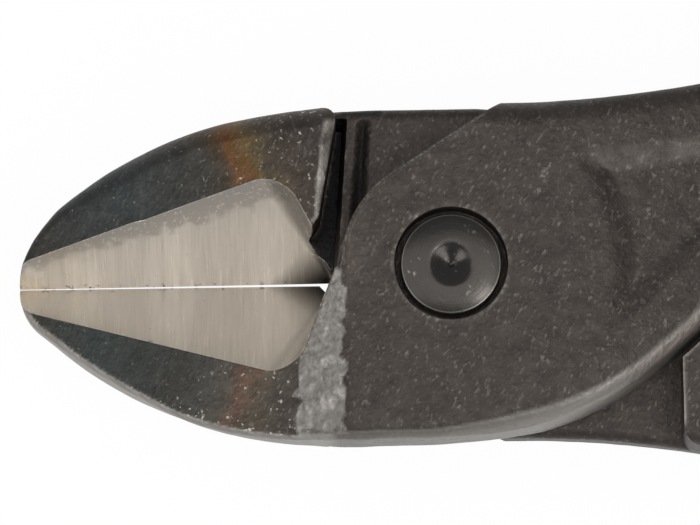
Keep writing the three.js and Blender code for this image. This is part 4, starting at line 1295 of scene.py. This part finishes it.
class Marks:
    """Wear with painted highlights, painted glints and shade, and roughness of a lever, as one number for
    each point of its mesh.

    A pair of values is where a mark begins and the width over which it comes in.
    """

    NAMES = ("ramp", "band", "wall", "grime", "dust", "wear")
    RAGGED, RAGGED_PITCH, RAGGED_SEED = 0.3 * MM, 0.5 * MM, 7
    WEAR_DEPTH = 0.25 * MM
    UNWORN_GROUND = 0.05 * MM
    SMOOTH_GROUND, SMOOTH_LAP, SMOOTH_SEAT = 0.02 * MM, 0.05 * MM, 3.7 * MM

    RAMP_TOP, RAMP_SIDE, RAMP_FOOT = 0.1 * MM, -0.45 * MM, 0.2 * MM
    RAMP_FADE, RAMP_OFF_GROUND, RAMP_RAGGED = 0.2 * MM, 0.06 * MM, 1.2
    STEEP = (-0.93, 0.1)
    JAW_WALL, JAW_WALL_END = mm(-0.5, 0.15), mm(6, 2)
    HEEL_WALL = mm(-1.9, 0.4)
    HEEL_WALL_RUN, HEEL_WALL_SHARE = mm(-7, 8), (0.45, 1.0)
    WALL_BELOW = 4 * MM
    # Painted glints along the front jaw's rim and near its root
    RIM_DUST, RIM_DUST_SHARE = mm(-1.6, 1.2), 1.7
    RIM_DUST_RUN = mm(-20, -17, -9.5, -8.8)
    ROOT_DUST_RUN = mm(-16, -13, -9.5, -8.8)
    CHEEK_WEAR, CHEEK_WEAR_END, CHEEK_WEAR_SHARE = mm(-0.2, 0.1), 4 * MM, 0.8
    # Painted highlight on the recess wall that faces -Y, towards the lamps: facing, rim and share
    RECESS_WEAR, RECESS_RIM, RECESS_WEAR_SHARE = (0.05, 0.4), 0.5 * MM, 0.25

    BAND_RUN, BAND_WIDTH, BAND_FADE = mm(-26, -11), mm(0.7, 1.7), 0.5 * MM
    BAND_RAGGED, RUNOUT_BAND_SHARE = 1.4, 0.7
    # Painted shade in the rear lever's relief grooves: how it fades in, which faces take it, where it ends
    # and how far off the jaw
    GRIME_FADE, GRIME_FACING, GRIME_END, GRIME_OFF_JAW = 0.25 * MM, -0.2, -4 * MM, 0.02 * MM
    SHOULDER_WEAR, SHOULDER_RAGGED = 0.12 * MM, 0.4
    UNWORN_SIDE = mm(0.7, 0.5)

    def __init__(self, shape, points, normals):
        self.shape, self.place, self.normals = shape, points.T, normals
        self.ground = shape.ground(*self.place)
        self.side = shape.side(*self.place)
        self.ragged = self.RAGGED * lumps(points, self.RAGGED_PITCH, self.RAGGED_SEED)
        below = shape(*(points - normals * self.WEAR_DEPTH).T)
        self.wear = np.clip((below + self.WEAR_DEPTH) / self.WEAR_DEPTH, 0, 1) ** 2

    def smooth(self):
        """Points without relief: the ground facets, the lap face and the seat of the rivet."""
        x, y, z = self.place
        lap = np.abs(z - self.shape.lap) < self.SMOOTH_LAP
        return (self.ground < self.SMOOTH_GROUND) | lap | (np.hypot(x, y) < self.SMOOTH_SEAT)

    def on_ramp(self):
        """Rough ramp of the front lever, with a ragged border."""
        head, ragged = self.shape.head, self.ragged
        x, _, z = self.place
        top = self.RAMP_TOP - head.ramp_from + ragged - x
        edge = self.RAMP_SIDE + ragged - self.side
        steepness = math.sin(head.ramp_angle - head.front_slope)
        past = (self.shape.face(x, z) - self.shape.ramp(x, z)) / steepness
        within = np.minimum(np.minimum(top, edge), past + self.RAMP_FOOT + self.RAMP_RAGGED * ragged)
        return ease(within / self.RAMP_FADE) * (self.ground > self.RAMP_OFF_GROUND)

    def front(self):
        """Marks of the front lever: ramp, ground sides laid only where they face the lamps, painted glints
        on the jaw, worn cheek and a painted highlight on the recess wall.
        """
        shape, side = self.shape, self.side
        x, y, z = self.place
        jaw_wall = rise(side, *self.JAW_WALL) * rise(-x, *self.JAW_WALL_END)
        heel_wall = rise(side + self.ragged, *self.HEEL_WALL)
        heel_wall = heel_wall * np.interp(x, self.HEEL_WALL_RUN, self.HEEL_WALL_SHARE)
        steep = rise(-np.abs(self.normals[:, 2]), *self.STEEP)
        # Partly painted highlight: the belt-ground grey goes only on steep sides towards -Y, which face the
        # lamps
        wall = steep * np.maximum(jaw_wall, heel_wall) * (y < self.WALL_BELOW)
        # Painted glints: how many bright dots the front jaw gets along its rim and near its root
        rim = self.RIM_DUST_SHARE * rise(side, *self.RIM_DUST) * stretch(x, self.RIM_DUST_RUN)
        dust = np.maximum(rim, stretch(x, self.ROOT_DUST_RUN)) * (z > shape.lap)
        strip = rise(np.minimum(shape.lever(x, y), shape.cheek_top(x, y, z)), *self.CHEEK_WEAR)
        cheek = self.CHEEK_WEAR_SHARE * strip * (y > 0) * (x < self.CHEEK_WEAR_END)
        # Painted highlight: the recess wall that faces -Y, towards the lamps, is mixed towards the speck
        # colour
        sunk = (shape.web(x, y) < self.RECESS_RIM) & (z > 0) & (x > 0)
        recess = self.RECESS_WEAR_SHARE * rise(-self.normals[:, 1], *self.RECESS_WEAR) * sunk
        wear = np.maximum(np.maximum(self.wear, cheek), recess)
        return {"ramp": self.on_ramp(), "wall": wall, "dust": dust, "wear": wear}

    def rear(self):
        """Marks of the rear lever: dull band on its facet with painted shade where its valley runs out,
        painted shade in its grooves, worn edges and a painted highlight along its shoulder's chamfer.
        """
        shape, ragged = self.shape, self.ragged
        x, y, z = self.place
        face, jaw = shape.face(x, z), shape.jaw(x, y)
        width = np.interp(x, self.BAND_RUN, self.BAND_WIDTH)
        band = ease((face + width + self.BAND_RAGGED * ragged) / self.BAND_FADE)
        # Painted shade: the dull band's colour also goes where the valley's end rounds up
        runout = ease((self.ground - shape.facet(x, y, z)) / self.BAND_FADE)
        band = np.maximum(band, self.RUNOUT_BAND_SHARE * runout)
        # Painted shade: the floors of the rear lever's relief grooves are darkened, more the deeper they
        # lie
        down = (self.normals[:, 2] < self.GRIME_FACING) & (y < 0) & (x < self.GRIME_END)
        grime = rise(z, shape.lap, self.GRIME_FADE) * down * (jaw > self.GRIME_OFF_JAW)
        # Painted highlight: a lighter strip along the shoulder's chamfer, joined to the worn edges
        strip = np.minimum(face, jaw) + shape.shoulder_chamfer(y)
        shoulder = ease((strip + self.SHOULDER_RAGGED * ragged) / self.SHOULDER_WEAR)
        wear = np.maximum(self.wear, shoulder) * rise(-self.side, *self.UNWORN_SIDE)
        return {"band": band, "grime": grime, "wear": wear}

    def values(self):
        """All marks by name, with zeros for those that the lever doesn't have."""
        own = self.front() if self.shape.facing > 0 else self.rear()
        own["wear"] = own["wear"] * (self.ground > self.UNWORN_GROUND)
        none = np.zeros(len(self.ground))
        return {"ground": self.ground / MM} | {name: own.get(name, none) for name in self.NAMES}


class CUTTERS_OT_forge_levers(bpy.types.Operator):
    """Make the two forged levers with their ground jaws"""

    bl_idname = "cutters.forge_levers"
    bl_label = "Forge levers"
    SHARP = 32

    def execute(self, context):
        handle = Handle()
        axes = lever_axes(handle)
        for half, facing in HALVES:
            shape = LeverShape(handle, facing, axes)
            points, faces = surface_mesh(shape, axes)
            normals = slopes(shape, points)
            marks = Marks(shape, points, normals)
            values = marks.values()
            moved = placed(forged_relief(shape, points, normals, values["ramp"], marks.smooth()), facing)
            steel = ForgedPaint(half).join()
            piece = piece_object(half + "_lever_forging", moved, faces, steel, self.SHARP)
            for name, row in values.items():
                keep_values(piece.data, name, row)
            dress(piece, half, "forged_steel", half + "_lever")
        return {"FINISHED"}


def turned_piece(profile, sides):
    """Points and faces of a turned solid, from rows of radius and height that start and end on the axis."""
    profile = np.asarray(profile)
    turn = np.arange(sides) * 2 * math.pi / sides
    rings = [
        np.column_stack((radius * np.cos(turn), radius * np.sin(turn), np.full(sides, height)))
        for radius, height in profile[1:-1]
    ]
    points = np.vstack([(0, 0, profile[0, 1]), *rings, (0, 0, profile[-1, 1])])
    last = len(points) - 1
    faces = []
    for j in range(sides):
        k = (j + 1) % sides
        faces.append((0, 1 + k, 1 + j))
        for row in range(len(rings) - 1):
            a, b = 1 + row * sides, 1 + (row + 1) * sides
            faces.append((a + j, a + k, b + k, b + j))
        row = 1 + (len(rings) - 1) * sides
        faces.append((row + j, row + k, last))
    return points, faces


class CUTTERS_OT_turn_rivet(bpy.types.Operator):
    """Make the pivot rivet with its dimpled head and peened tail"""

    bl_idname = "cutters.turn_rivet"
    bl_label = "Turn rivet"
    SIDES, SHARP = 160, 40
    RIM_STEPS, CROWN_STEPS, DIMPLE_STEPS = 6, 40, 50
    CROWN_POWER = 3
    TAIL_EDGE = 0.1 * MM
    WEAR_INSET, WEAR_WIDTH, WEAR_SHARE = 0.05 * MM, 0.08 * MM, 0.5

    def execute(self, context):
        rivet = sizes("rivet")
        points, faces = turned_piece(self.profile(rivet), self.SIDES)
        piece = piece_object("pivot_rivet_turning", placed(points, 1), faces, turned_steel(), self.SHARP)
        off_rim = np.hypot(points[:, 0], points[:, 1]) - (rivet.head_diameter / 2 - self.WEAR_INSET)
        worn = (np.abs(off_rim) < self.WEAR_WIDTH) & (points[:, 2] > 0)
        keep_values(piece.data, "wear", worn * self.WEAR_SHARE)
        dress(piece, "rear", "rivet_steel", "pivot_rivet")
        return {"FINISHED"}

    def profile(self, rivet):
        """Rows of radius and height, from the middle of the tail to the middle of the head."""
        top = sizes("head").head_thickness / 2 - rivet.recess
        head, shank, tail = rivet.head_diameter / 2, rivet.shank_diameter / 2, rivet.tail_diameter / 2
        rim = rivet.chamfer
        edge, under = top - rivet.head_crown, top - rivet.head_height
        rows = [
            (0, -top),
            (tail - self.TAIL_EDGE, -top),
            (tail, self.TAIL_EDGE - top),
            (shank, rivet.tail_height - top),
            (shank, under),
            (head, under),
        ]
        rows.extend(arc((head - rim, edge - rim), rim, 0, math.pi / 2, self.RIM_STEPS))
        dimple, pit = rivet.dimple_diameter / 2, rivet.pit_diameter / 2
        crown = np.linspace(head - rim, dimple, self.CROWN_STEPS)[1:]
        inward = np.concatenate((crown, np.linspace(dimple, 0, self.DIMPLE_STEPS)[1:]))
        level = top - rivet.head_crown * (inward / (head - rim)) ** self.CROWN_POWER
        level = level - rivet.dimple_depth * (1 - ease(inward / dimple))
        level = level - rivet.pit_depth * ease((pit - inward) / pit)
        rows.extend(zip(inward, level))
        return rows


def loft(handle, distances, size_at, sides, power):
    """Points and faces of a closed skin over sections set along a handle."""
    distances = np.asarray(distances)[:, None]
    turn = ((np.arange(sides) + 0.5) / sides * 2 * math.pi)[None, :]
    size = [part[:, None] if part.ndim == 1 else part for part in size_at(distances[:, 0])]
    rings = handle.surface(distances + 0 * turn, size, turn + 0 * distances, power)
    points = rings.reshape(-1, 3)
    ends = handle.frame(distances[[0, -1], 0])[0]
    points = np.vstack((points, np.column_stack((ends, (0, 0)))))
    last = (len(distances) - 1) * sides
    faces = []
    for j in range(sides):
        k = (j + 1) % sides
        for row in range(0, last, sides):
            faces.append((row + j, row + k, row + sides + k, row + sides + j))
        faces.append((last + sides, k, j))
        faces.append((last + sides + 1, last + j, last + k))
    return points, faces


def rounded_front(distances, start, radius):
    """How far a section is drawn in at the rounded front edge."""
    into = np.clip((distances - start) / radius, 0, 1)
    return radius * (np.sqrt(1 - (1 - into) ** 2) - 1)


def carved(name, points, faces, cutters, material):
    """The mesh of a solid with other solids cut out of it."""
    block = piece_object(name + "_block", points, faces, material)
    tools = []
    for index, (cut_points, cut_faces) in enumerate(cutters):
        tool = piece_object(f"{name}_tool_{index}", cut_points, cut_faces, material)
        cut = block.modifiers.new(f"cut_{index}", "BOOLEAN")
        cut.operation = "DIFFERENCE"
        cut.solver = "MANIFOLD"
        cut.object = tool
        tools.append(tool)
    depsgraph = bpy.context.evaluated_depsgraph_get()
    mesh = bpy.data.meshes.new_from_object(block.evaluated_get(depsgraph))
    mesh.name = name
    for spare in (block, *tools):
        bpy.data.objects.remove(spare)
    mesh.materials.clear()
    mesh.materials.append(material)
    return mesh


def pad_list(handle):
    """Name, start, end, middle angle and half spread of the pads on one grip."""
    grip = sizes("grip")
    thumb = grip.guard_at + grip.thumb_pad_from_guard
    thumb_end = thumb + grip.thumb_pad_length
    palm = (grip.guard_at + grip.palm_pad_from_guard, handle.length - grip.palm_pad_from_end)
    finger = (grip.guard_at + grip.finger_pad_from_guard, handle.length - grip.finger_pad_from_end)
    quarter = math.pi / 2
    return (
        ("palm_pad", *palm, 0.0, grip.palm_pad_spread),
        ("finger_pad", *finger, math.pi, grip.finger_pad_spread),
        ("upper_thumb_pad", thumb, thumb_end, quarter, grip.thumb_pad_spread),
        ("lower_thumb_pad", thumb, thumb_end, -quarter, grip.thumb_pad_spread),
    )


def pad_spread(part, spread):
    """Half the angle that a pad covers at a share of its length."""
    grip = sizes("grip")
    near_end = np.abs(2 * part - 1)
    return spread * np.maximum(grip.pad_end_taper, np.sqrt(np.maximum(0, 1 - near_end**grip.pad_end_power)))


def pad_solid(handle, pad, growth, low, high, rim=0.0, rows=110, columns=30):
    """Points and faces of a patch of the grip's surface from one depth to another, with a rounded rim."""
    grip = sizes("grip")
    _, start, end, middle, spread = pad
    part = (1 - np.cos(np.linspace(0, math.pi, rows + 1))) / 2
    across = np.sin(np.linspace(-math.pi / 2, math.pi / 2, columns + 1))
    distance = (start - growth + (end - start + 2 * growth) * part)[:, None] + 0 * across[None, :]
    cover = (pad_spread(part, spread) + growth / grip.thumb_out)[:, None]
    turn = middle + cover * across[None, :]
    aside = np.minimum(distance - start, end - distance)
    around = (1 - np.abs(across[None, :])) * cover * grip.thumb_out
    border = np.clip(np.minimum(aside, around) / rim, 0, 1) if rim > 0 else np.ones_like(turn)
    drop = rim * (1 - np.sqrt(1 - (1 - border) ** 2))
    layers = []
    for offset in (high - drop, np.full_like(drop, low)):
        size = handle.shell_size(distance)
        layers.append(handle.surface(distance, [part + offset for part in size], turn, grip.section_power))
    points = np.concatenate([layer.reshape(-1, 3) for layer in layers])
    stride, total = columns + 1, (rows + 1) * (columns + 1)
    faces = []
    for i in range(rows):
        for j in range(columns):
            a = i * stride + j
            faces.append((a, a + 1, a + 1 + stride, a + stride))
            faces.append((a + total, a + stride + total, a + stride + 1 + total, a + 1 + total))
    edge = [i * stride + columns for i in range(rows + 1)]
    edge += [rows * stride + j for j in range(columns - 1, -1, -1)]
    edge += [i * stride for i in range(rows - 1, -1, -1)]
    edge += list(range(1, columns))
    for a, b in zip(edge, edge[1:] + edge[:1]):
        faces.append((b, a, a + total, b + total))
    return points, faces


class CUTTERS_OT_mould_grips(bpy.types.Operator):
    """Make the under-sleeves and the grip shells with their finger guards"""

    bl_idname = "cutters.mould_grips"
    bl_label = "Mould grips"
    SHARP = 35
    SLEEVE_SIDES, BORE_SIDES, SHELL_SIDES = 72, 64, 112
    MOUTH_STEPS, SLEEVE_STEPS, SHELL_STEPS, END_STEPS = 6, 90, 170, 18
    BORE_POWER, BORE_AHEAD = 0.12, 0.4 * MM

    def execute(self, context):
        finish = sizes("finish")
        handle = Handle()
        red, yellow = screen(164, 10, 12), screen(222, 160, 6)
        shell = moulded("red_grip_shell", finish.shell, red, 0.3, 0.42, 2200, 0.02 * MM)
        sleeve = moulded("yellow_under_sleeve", finish.sleeve, yellow, 0.45, 0.58, 1800, 0.02 * MM)
        for half, facing in HALVES:
            self.mould(f"{half}_sleeve_moulding", half, facing, "under_sleeve", self.sleeve(handle), sleeve)
            self.mould(f"{half}_shell_moulding", half, facing, "grip_shell", self.shell(handle), shell)
        return {"FINISHED"}

    def mould(self, name, half, facing, slot, solids, material):
        """One piece of a grip: the first solid with the others cut out of it."""
        block, *cutters = [(placed(points, facing), faces) for points, faces in solids]
        mesh = carved(name, *block, cutters, material)
        dress(finished(name, mesh, self.SHARP), half, slot, f"{half}_{slot}")

    def sleeve(self, handle):
        """Skin and bore of an under-sleeve."""
        grip = sizes("grip")
        mouth = np.linspace(0, grip.mouth_round, self.MOUTH_STEPS)
        rest = np.linspace(grip.mouth_round, handle.sleeve_length, self.SLEEVE_STEPS)
        skin_run = np.concatenate((mouth, rest[1:]))
        bore_end = handle.tang_length + grip.tang_clearance
        bore_run = np.linspace(-self.BORE_AHEAD, bore_end, self.SLEEVE_STEPS)

        def skin_size(run):
            return handle.sleeve_size(run, rounded_front(run, 0, grip.mouth_round))

        return (
            loft(handle, skin_run, skin_size, self.SLEEVE_SIDES, grip.sleeve_power),
            loft(handle, bore_run, handle.bore_size, self.BORE_SIDES, self.BORE_POWER),
        )

    def shell(self, handle):
        """Skin of a shell, the hollow for its under-sleeve and the beds of its pads."""
        grip = sizes("grip")
        lip = grip.sleeve_lip
        mouth = lip + np.linspace(0, grip.mouth_round, self.MOUTH_STEPS)
        rest = np.linspace(lip + grip.mouth_round, handle.length - grip.end_round, self.SHELL_STEPS)
        closing = np.sin(np.linspace(0, math.pi / 2, self.END_STEPS))
        end = handle.length - grip.end_round * (1 - closing)
        skin_run = np.concatenate((mouth, rest[1:], end[1:]))
        hollow_run = np.linspace(0, handle.sleeve_length + grip.shell_clearance, self.SLEEVE_STEPS)
        depth = grip.pad_depth + grip.pad_clearance

        def skin_size(run):
            return handle.shell_size(run, rounded_front(run, lip, grip.mouth_round)[:, None])

        def hollow_size(run):
            return handle.sleeve_size(run, grip.shell_clearance)

        return (
            loft(handle, skin_run, skin_size, self.SHELL_SIDES, grip.section_power),
            loft(handle, hollow_run, hollow_size, self.SLEEVE_SIDES, grip.sleeve_power),
            *(pad_solid(handle, pad, grip.pad_clearance, -depth, depth) for pad in pad_list(handle)),
        )


def rib_tree():
    """Node tree that sweeps a rounded rib along every guide line."""
    tree = bpy.data.node_groups.new("Pad ribs", "GeometryNodeTree")
    sockets = (
        ("Guide lines", "INPUT", "NodeSocketGeometry"),
        ("Rib radius", "INPUT", "NodeSocketFloat"),
        ("Rib sides", "INPUT", "NodeSocketInt"),
        ("Rubber", "INPUT", "NodeSocketMaterial"),
        ("Ribs", "OUTPUT", "NodeSocketGeometry"),
    )
    for name, way, kind in sockets:
        tree.interface.new_socket(name, in_out=way, socket_type=kind)

    nodes = Nodes(tree)
    add = nodes.node
    start = add("NodeGroupInput").outputs
    line = add("GeometryNodeMeshToCurve", {"Mesh": start["Guide lines"]}).outputs["Curve"]
    part = add("GeometryNodeSplineParameter").outputs["Factor"]
    off_middle = add("ShaderNodeMath", {0: part, 1: 2.0, 2: -1.0}, operation="MULTIPLY_ADD").outputs[0]
    end = nodes.math("POWER", nodes.math("ABSOLUTE", off_middle), RIB_END_POWER)
    taper = nodes.math("MAXIMUM", nodes.math("SUBTRACT", 1.0, end), RIB_END_LEAST)
    scale = nodes.math("SQRT", taper)
    section = {"Resolution": start["Rib sides"], "Radius": start["Rib radius"]}
    circle = add("GeometryNodeCurvePrimitiveCircle", section).outputs["Curve"]
    sweep = {"Curve": line, "Profile Curve": circle, "Fill Caps": True, "Scale": scale}
    rib = add("GeometryNodeCurveToMesh", sweep).outputs["Mesh"]
    real = add("GeometryNodeRealizeInstances", {"Geometry": rib}).outputs["Geometry"]
    painted = add("GeometryNodeSetMaterial", {"Geometry": real, "Material": start["Rubber"]})
    add("NodeGroupOutput", {"Ribs": painted.outputs["Geometry"]})
    return tree


class CUTTERS_OT_mould_pads(bpy.types.Operator):
    """Make the soft pads and their ribs"""

    bl_idname = "cutters.mould_pads"
    bl_label = "Mould pads"
    PAD_SHARP, RIB_SHARP = 50, 60
    PAD_TOP = 0.02 * MM
    RIB_POINTS = 25
    TURNED_OVER = {"upper_thumb_pad": "lower_thumb_pad", "lower_thumb_pad": "upper_thumb_pad"}

    def execute(self, context):
        grip, finish = sizes("grip"), sizes("finish")
        handle = Handle()
        rubber = moulded("yellow_pad_rubber", finish.pad, screen(220, 160, 10), 0.62, 0.8, 2600, 0.03 * MM)
        tree = rib_tree()
        for half, facing in HALVES:
            for pad in pad_list(handle):
                points, faces = pad_solid(handle, pad, 0, -grip.pad_depth, self.PAD_TOP, grip.pad_round)
                name = pad[0] if facing > 0 else self.TURNED_OVER.get(pad[0], pad[0])
                node = f"{half}_{name}"
                points = placed(points, facing)
                piece = piece_object(node + "_moulding", points, faces, rubber, self.PAD_SHARP)
                dress(piece, half, "grip_pad", node)
            ribs = self.ribs(half, facing, handle, tree, rubber)
            dress(ribs, half, "grip_pad")
        return {"FINISHED"}

    def ribs(self, half, facing, handle, tree, rubber):
        """All ribs of one grip, swept along lines round its pads."""
        grip = sizes("grip")
        points, edges = [], []
        sink = grip.pad_proud - grip.rib_radius
        for _, start, end, middle, spread in pad_list(handle):
            space = end - start - 2 * grip.rib_margin
            number = int(space / grip.rib_pitch)
            for distance in start + grip.rib_margin + space * np.arange(number + 1) / number:
                cover = grip.rib_share * pad_spread((distance - start) / (end - start), spread)
                turn = middle + cover * np.linspace(-1, 1, self.RIB_POINTS)
                run = np.full_like(turn, distance)
                size = handle.shell_size(run, sink)
                first = len(points)
                points.extend(handle.surface(run, size, turn, grip.section_power))
                edges.extend((i, i + 1) for i in range(first, len(points) - 1))
        guide = bpy.data.meshes.new("rib_guide_lines")
        guide.from_pydata(placed(points, facing).tolist(), edges, [])
        holder = bpy.data.objects.new("rib_guide", guide)
        bpy.context.scene.collection.objects.link(holder)
        modifier = holder.modifiers.new("ribs", "NODES")
        modifier.node_group = tree
        values = {"Rib radius": grip.rib_radius, "Rib sides": grip.rib_sides, "Rubber": rubber}
        for item in tree.interface.items_tree:
            if item.name in values:
                modifier[item.identifier] = values[item.name]
        depsgraph = bpy.context.evaluated_depsgraph_get()
        mesh = bpy.data.meshes.new_from_object(holder.evaluated_get(depsgraph))
        bpy.data.objects.remove(holder)
        return finished(half + "_pad_ribs", mesh, self.RIB_SHARP)


def floor_material():
    """Pale floor that shows white to the camera and keeps a faint shadow."""
    material = blank_material("pale_floor")
    nodes = Nodes(material.node_tree)
    matt = nodes.node("ShaderNodeBsdfDiffuse", {"Color": sizes("finish").floor}).outputs[0]
    glow = nodes.node("ShaderNodeEmission").outputs[0]
    rays = nodes.node("ShaderNodeLightPath").outputs
    seen = rays["Is Camera Ray"]
    for name in ("Is Glossy Ray", "Is Transmission Ray"):
        seen = nodes.math("MAXIMUM", seen, rays[name])
    both = nodes.node("ShaderNodeMixShader", {"Fac": nodes.times(seen, FLOOR_GLOW), 1: matt, 2: glow})
    nodes.node("ShaderNodeOutputMaterial", {"Surface": both.outputs[0]})
    return material


def area_lamp(name, location, aim, width, height, radiance):
    """A soft rectangular lamp of the given brightness."""
    data = bpy.data.lights.new(name, "AREA")
    data.shape = "RECTANGLE"
    data.size, data.size_y = width, height
    data.energy = radiance * math.pi * width * height
    lamp = bpy.data.objects.new(name, data)
    lamp.location = location
    lamp.rotation_euler = (Vector(aim) - Vector(location)).to_track_quat("-Z", "Y").to_euler()
    bpy.context.scene.collection.objects.link(lamp)


class CUTTERS_OT_set_stage(bpy.types.Operator):
    """Set the floor, the light and the camera"""

    bl_idname = "cutters.set_stage"
    bl_label = "Set stage"
    SKY_STRENGTH = 0.4
    # Name, place from the pivot in metres, width, height and brightness of the lamps
    OVERHEAD = ("overhead_softbox", (-0.05, 0.02, 0.9), 1.2, 0.56, 1.5)
    AIMED = (
        ("right_softbox", (0.5, -0.5, 0.7), 0.5, 0.4, 3.6),
        ("left_softbox", (-0.65, -0.4, 0.55), 0.5, 0.4, 3.2),
        ("small_softbox", (0.21, -0.12, 0.6), 0.09, 0.09, 14.0),
    )
    SENSOR_WIDTH, CLIP_START = 0.036, 0.01

    def execute(self, context):
        stage = sizes("stage")
        scene = context.scene
        scene.view_settings.view_transform = "Standard"
        half = stage.floor_size / 2
        corners = [(-half, -half, 0), (half, -half, 0), (half, half, 0), (-half, half, 0)]
        floor = piece_object("floor", corners, [(0, 1, 2, 3)], floor_material())

        world = scene.world or bpy.data.worlds.new("studio")
        scene.world = world
        world.use_nodes = True
        sky = world.node_tree.nodes["Background"]
        sky.inputs["Color"].default_value = (1, 1, 1, 1)
        sky.inputs["Strength"].default_value = self.SKY_STRENGTH
        name, place, *light = self.OVERHEAD
        over = PIVOT + Vector(place)
        area_lamp(name, over, over - Vector((0, 0, 1)), *light)
        for name, place, *light in self.AIMED:
            area_lamp(name, PIVOT + Vector(place), PIVOT, *light)

        data = bpy.data.cameras.new("camera")
        data.sensor_width = self.SENSOR_WIDTH / MM
        data.lens = data.sensor_width * stage.distance / stage.view_width
        data.clip_start = self.CLIP_START
        camera = bpy.data.objects.new("camera", data)
        aim = PIVOT + Vector((stage.aim_x, stage.aim_y, 0))
        back = Vector((0, -math.sin(stage.tilt), math.cos(stage.tilt)))
        turn = Matrix.Rotation(stage.tilt, 4, "X") @ Matrix.Rotation(-stage.roll, 4, "Z")
        camera.matrix_world = Matrix.Translation(aim + back * stage.distance) @ turn
        scene.collection.objects.link(camera)
        scene.camera = camera
        return {"FINISHED"}


class CUTTERS_PT_panel(bpy.types.Panel):
    """Steps that build the side cutters"""

    bl_label = "Side cutters"
    bl_idname = "CUTTERS_PT_panel"
    bl_space_type = "VIEW_3D"
    bl_region_type = "UI"
    bl_category = "Cutters"

    def draw(self, context):
        for step in STEPS:
            self.layout.operator(step.bl_idname)


STEPS = (
    CUTTERS_OT_set_stage,
    CUTTERS_OT_forge_levers,
    CUTTERS_OT_turn_rivet,
    CUTTERS_OT_mould_grips,
    CUTTERS_OT_mould_pads,
)
GROUPS = {"head": HeadSizes, "rivet": RivetSizes, "grip": GripSizes, "finish": Finish, "stage": StageSizes}
CLASSES = (*GROUPS.values(), *STEPS, CUTTERS_PT_panel)


def register():
    for each in CLASSES:
        bpy.utils.register_class(each)
    for name, group in GROUPS.items():
        setattr(bpy.types.Scene, "cutters_" + name, bpy.props.PointerProperty(type=group))


def unregister():
    for name in GROUPS:
        delattr(bpy.types.Scene, "cutters_" + name)
    for each in reversed(CLASSES):
        bpy.utils.unregister_class(each)


def main():
    register()
    bpy.ops.cutters.set_stage()
    bpy.ops.cutters.forge_levers()
    bpy.ops.cutters.turn_rivet()
    bpy.ops.cutters.mould_grips()
    bpy.ops.cutters.mould_pads()


if __name__ == "__main__":
    main()
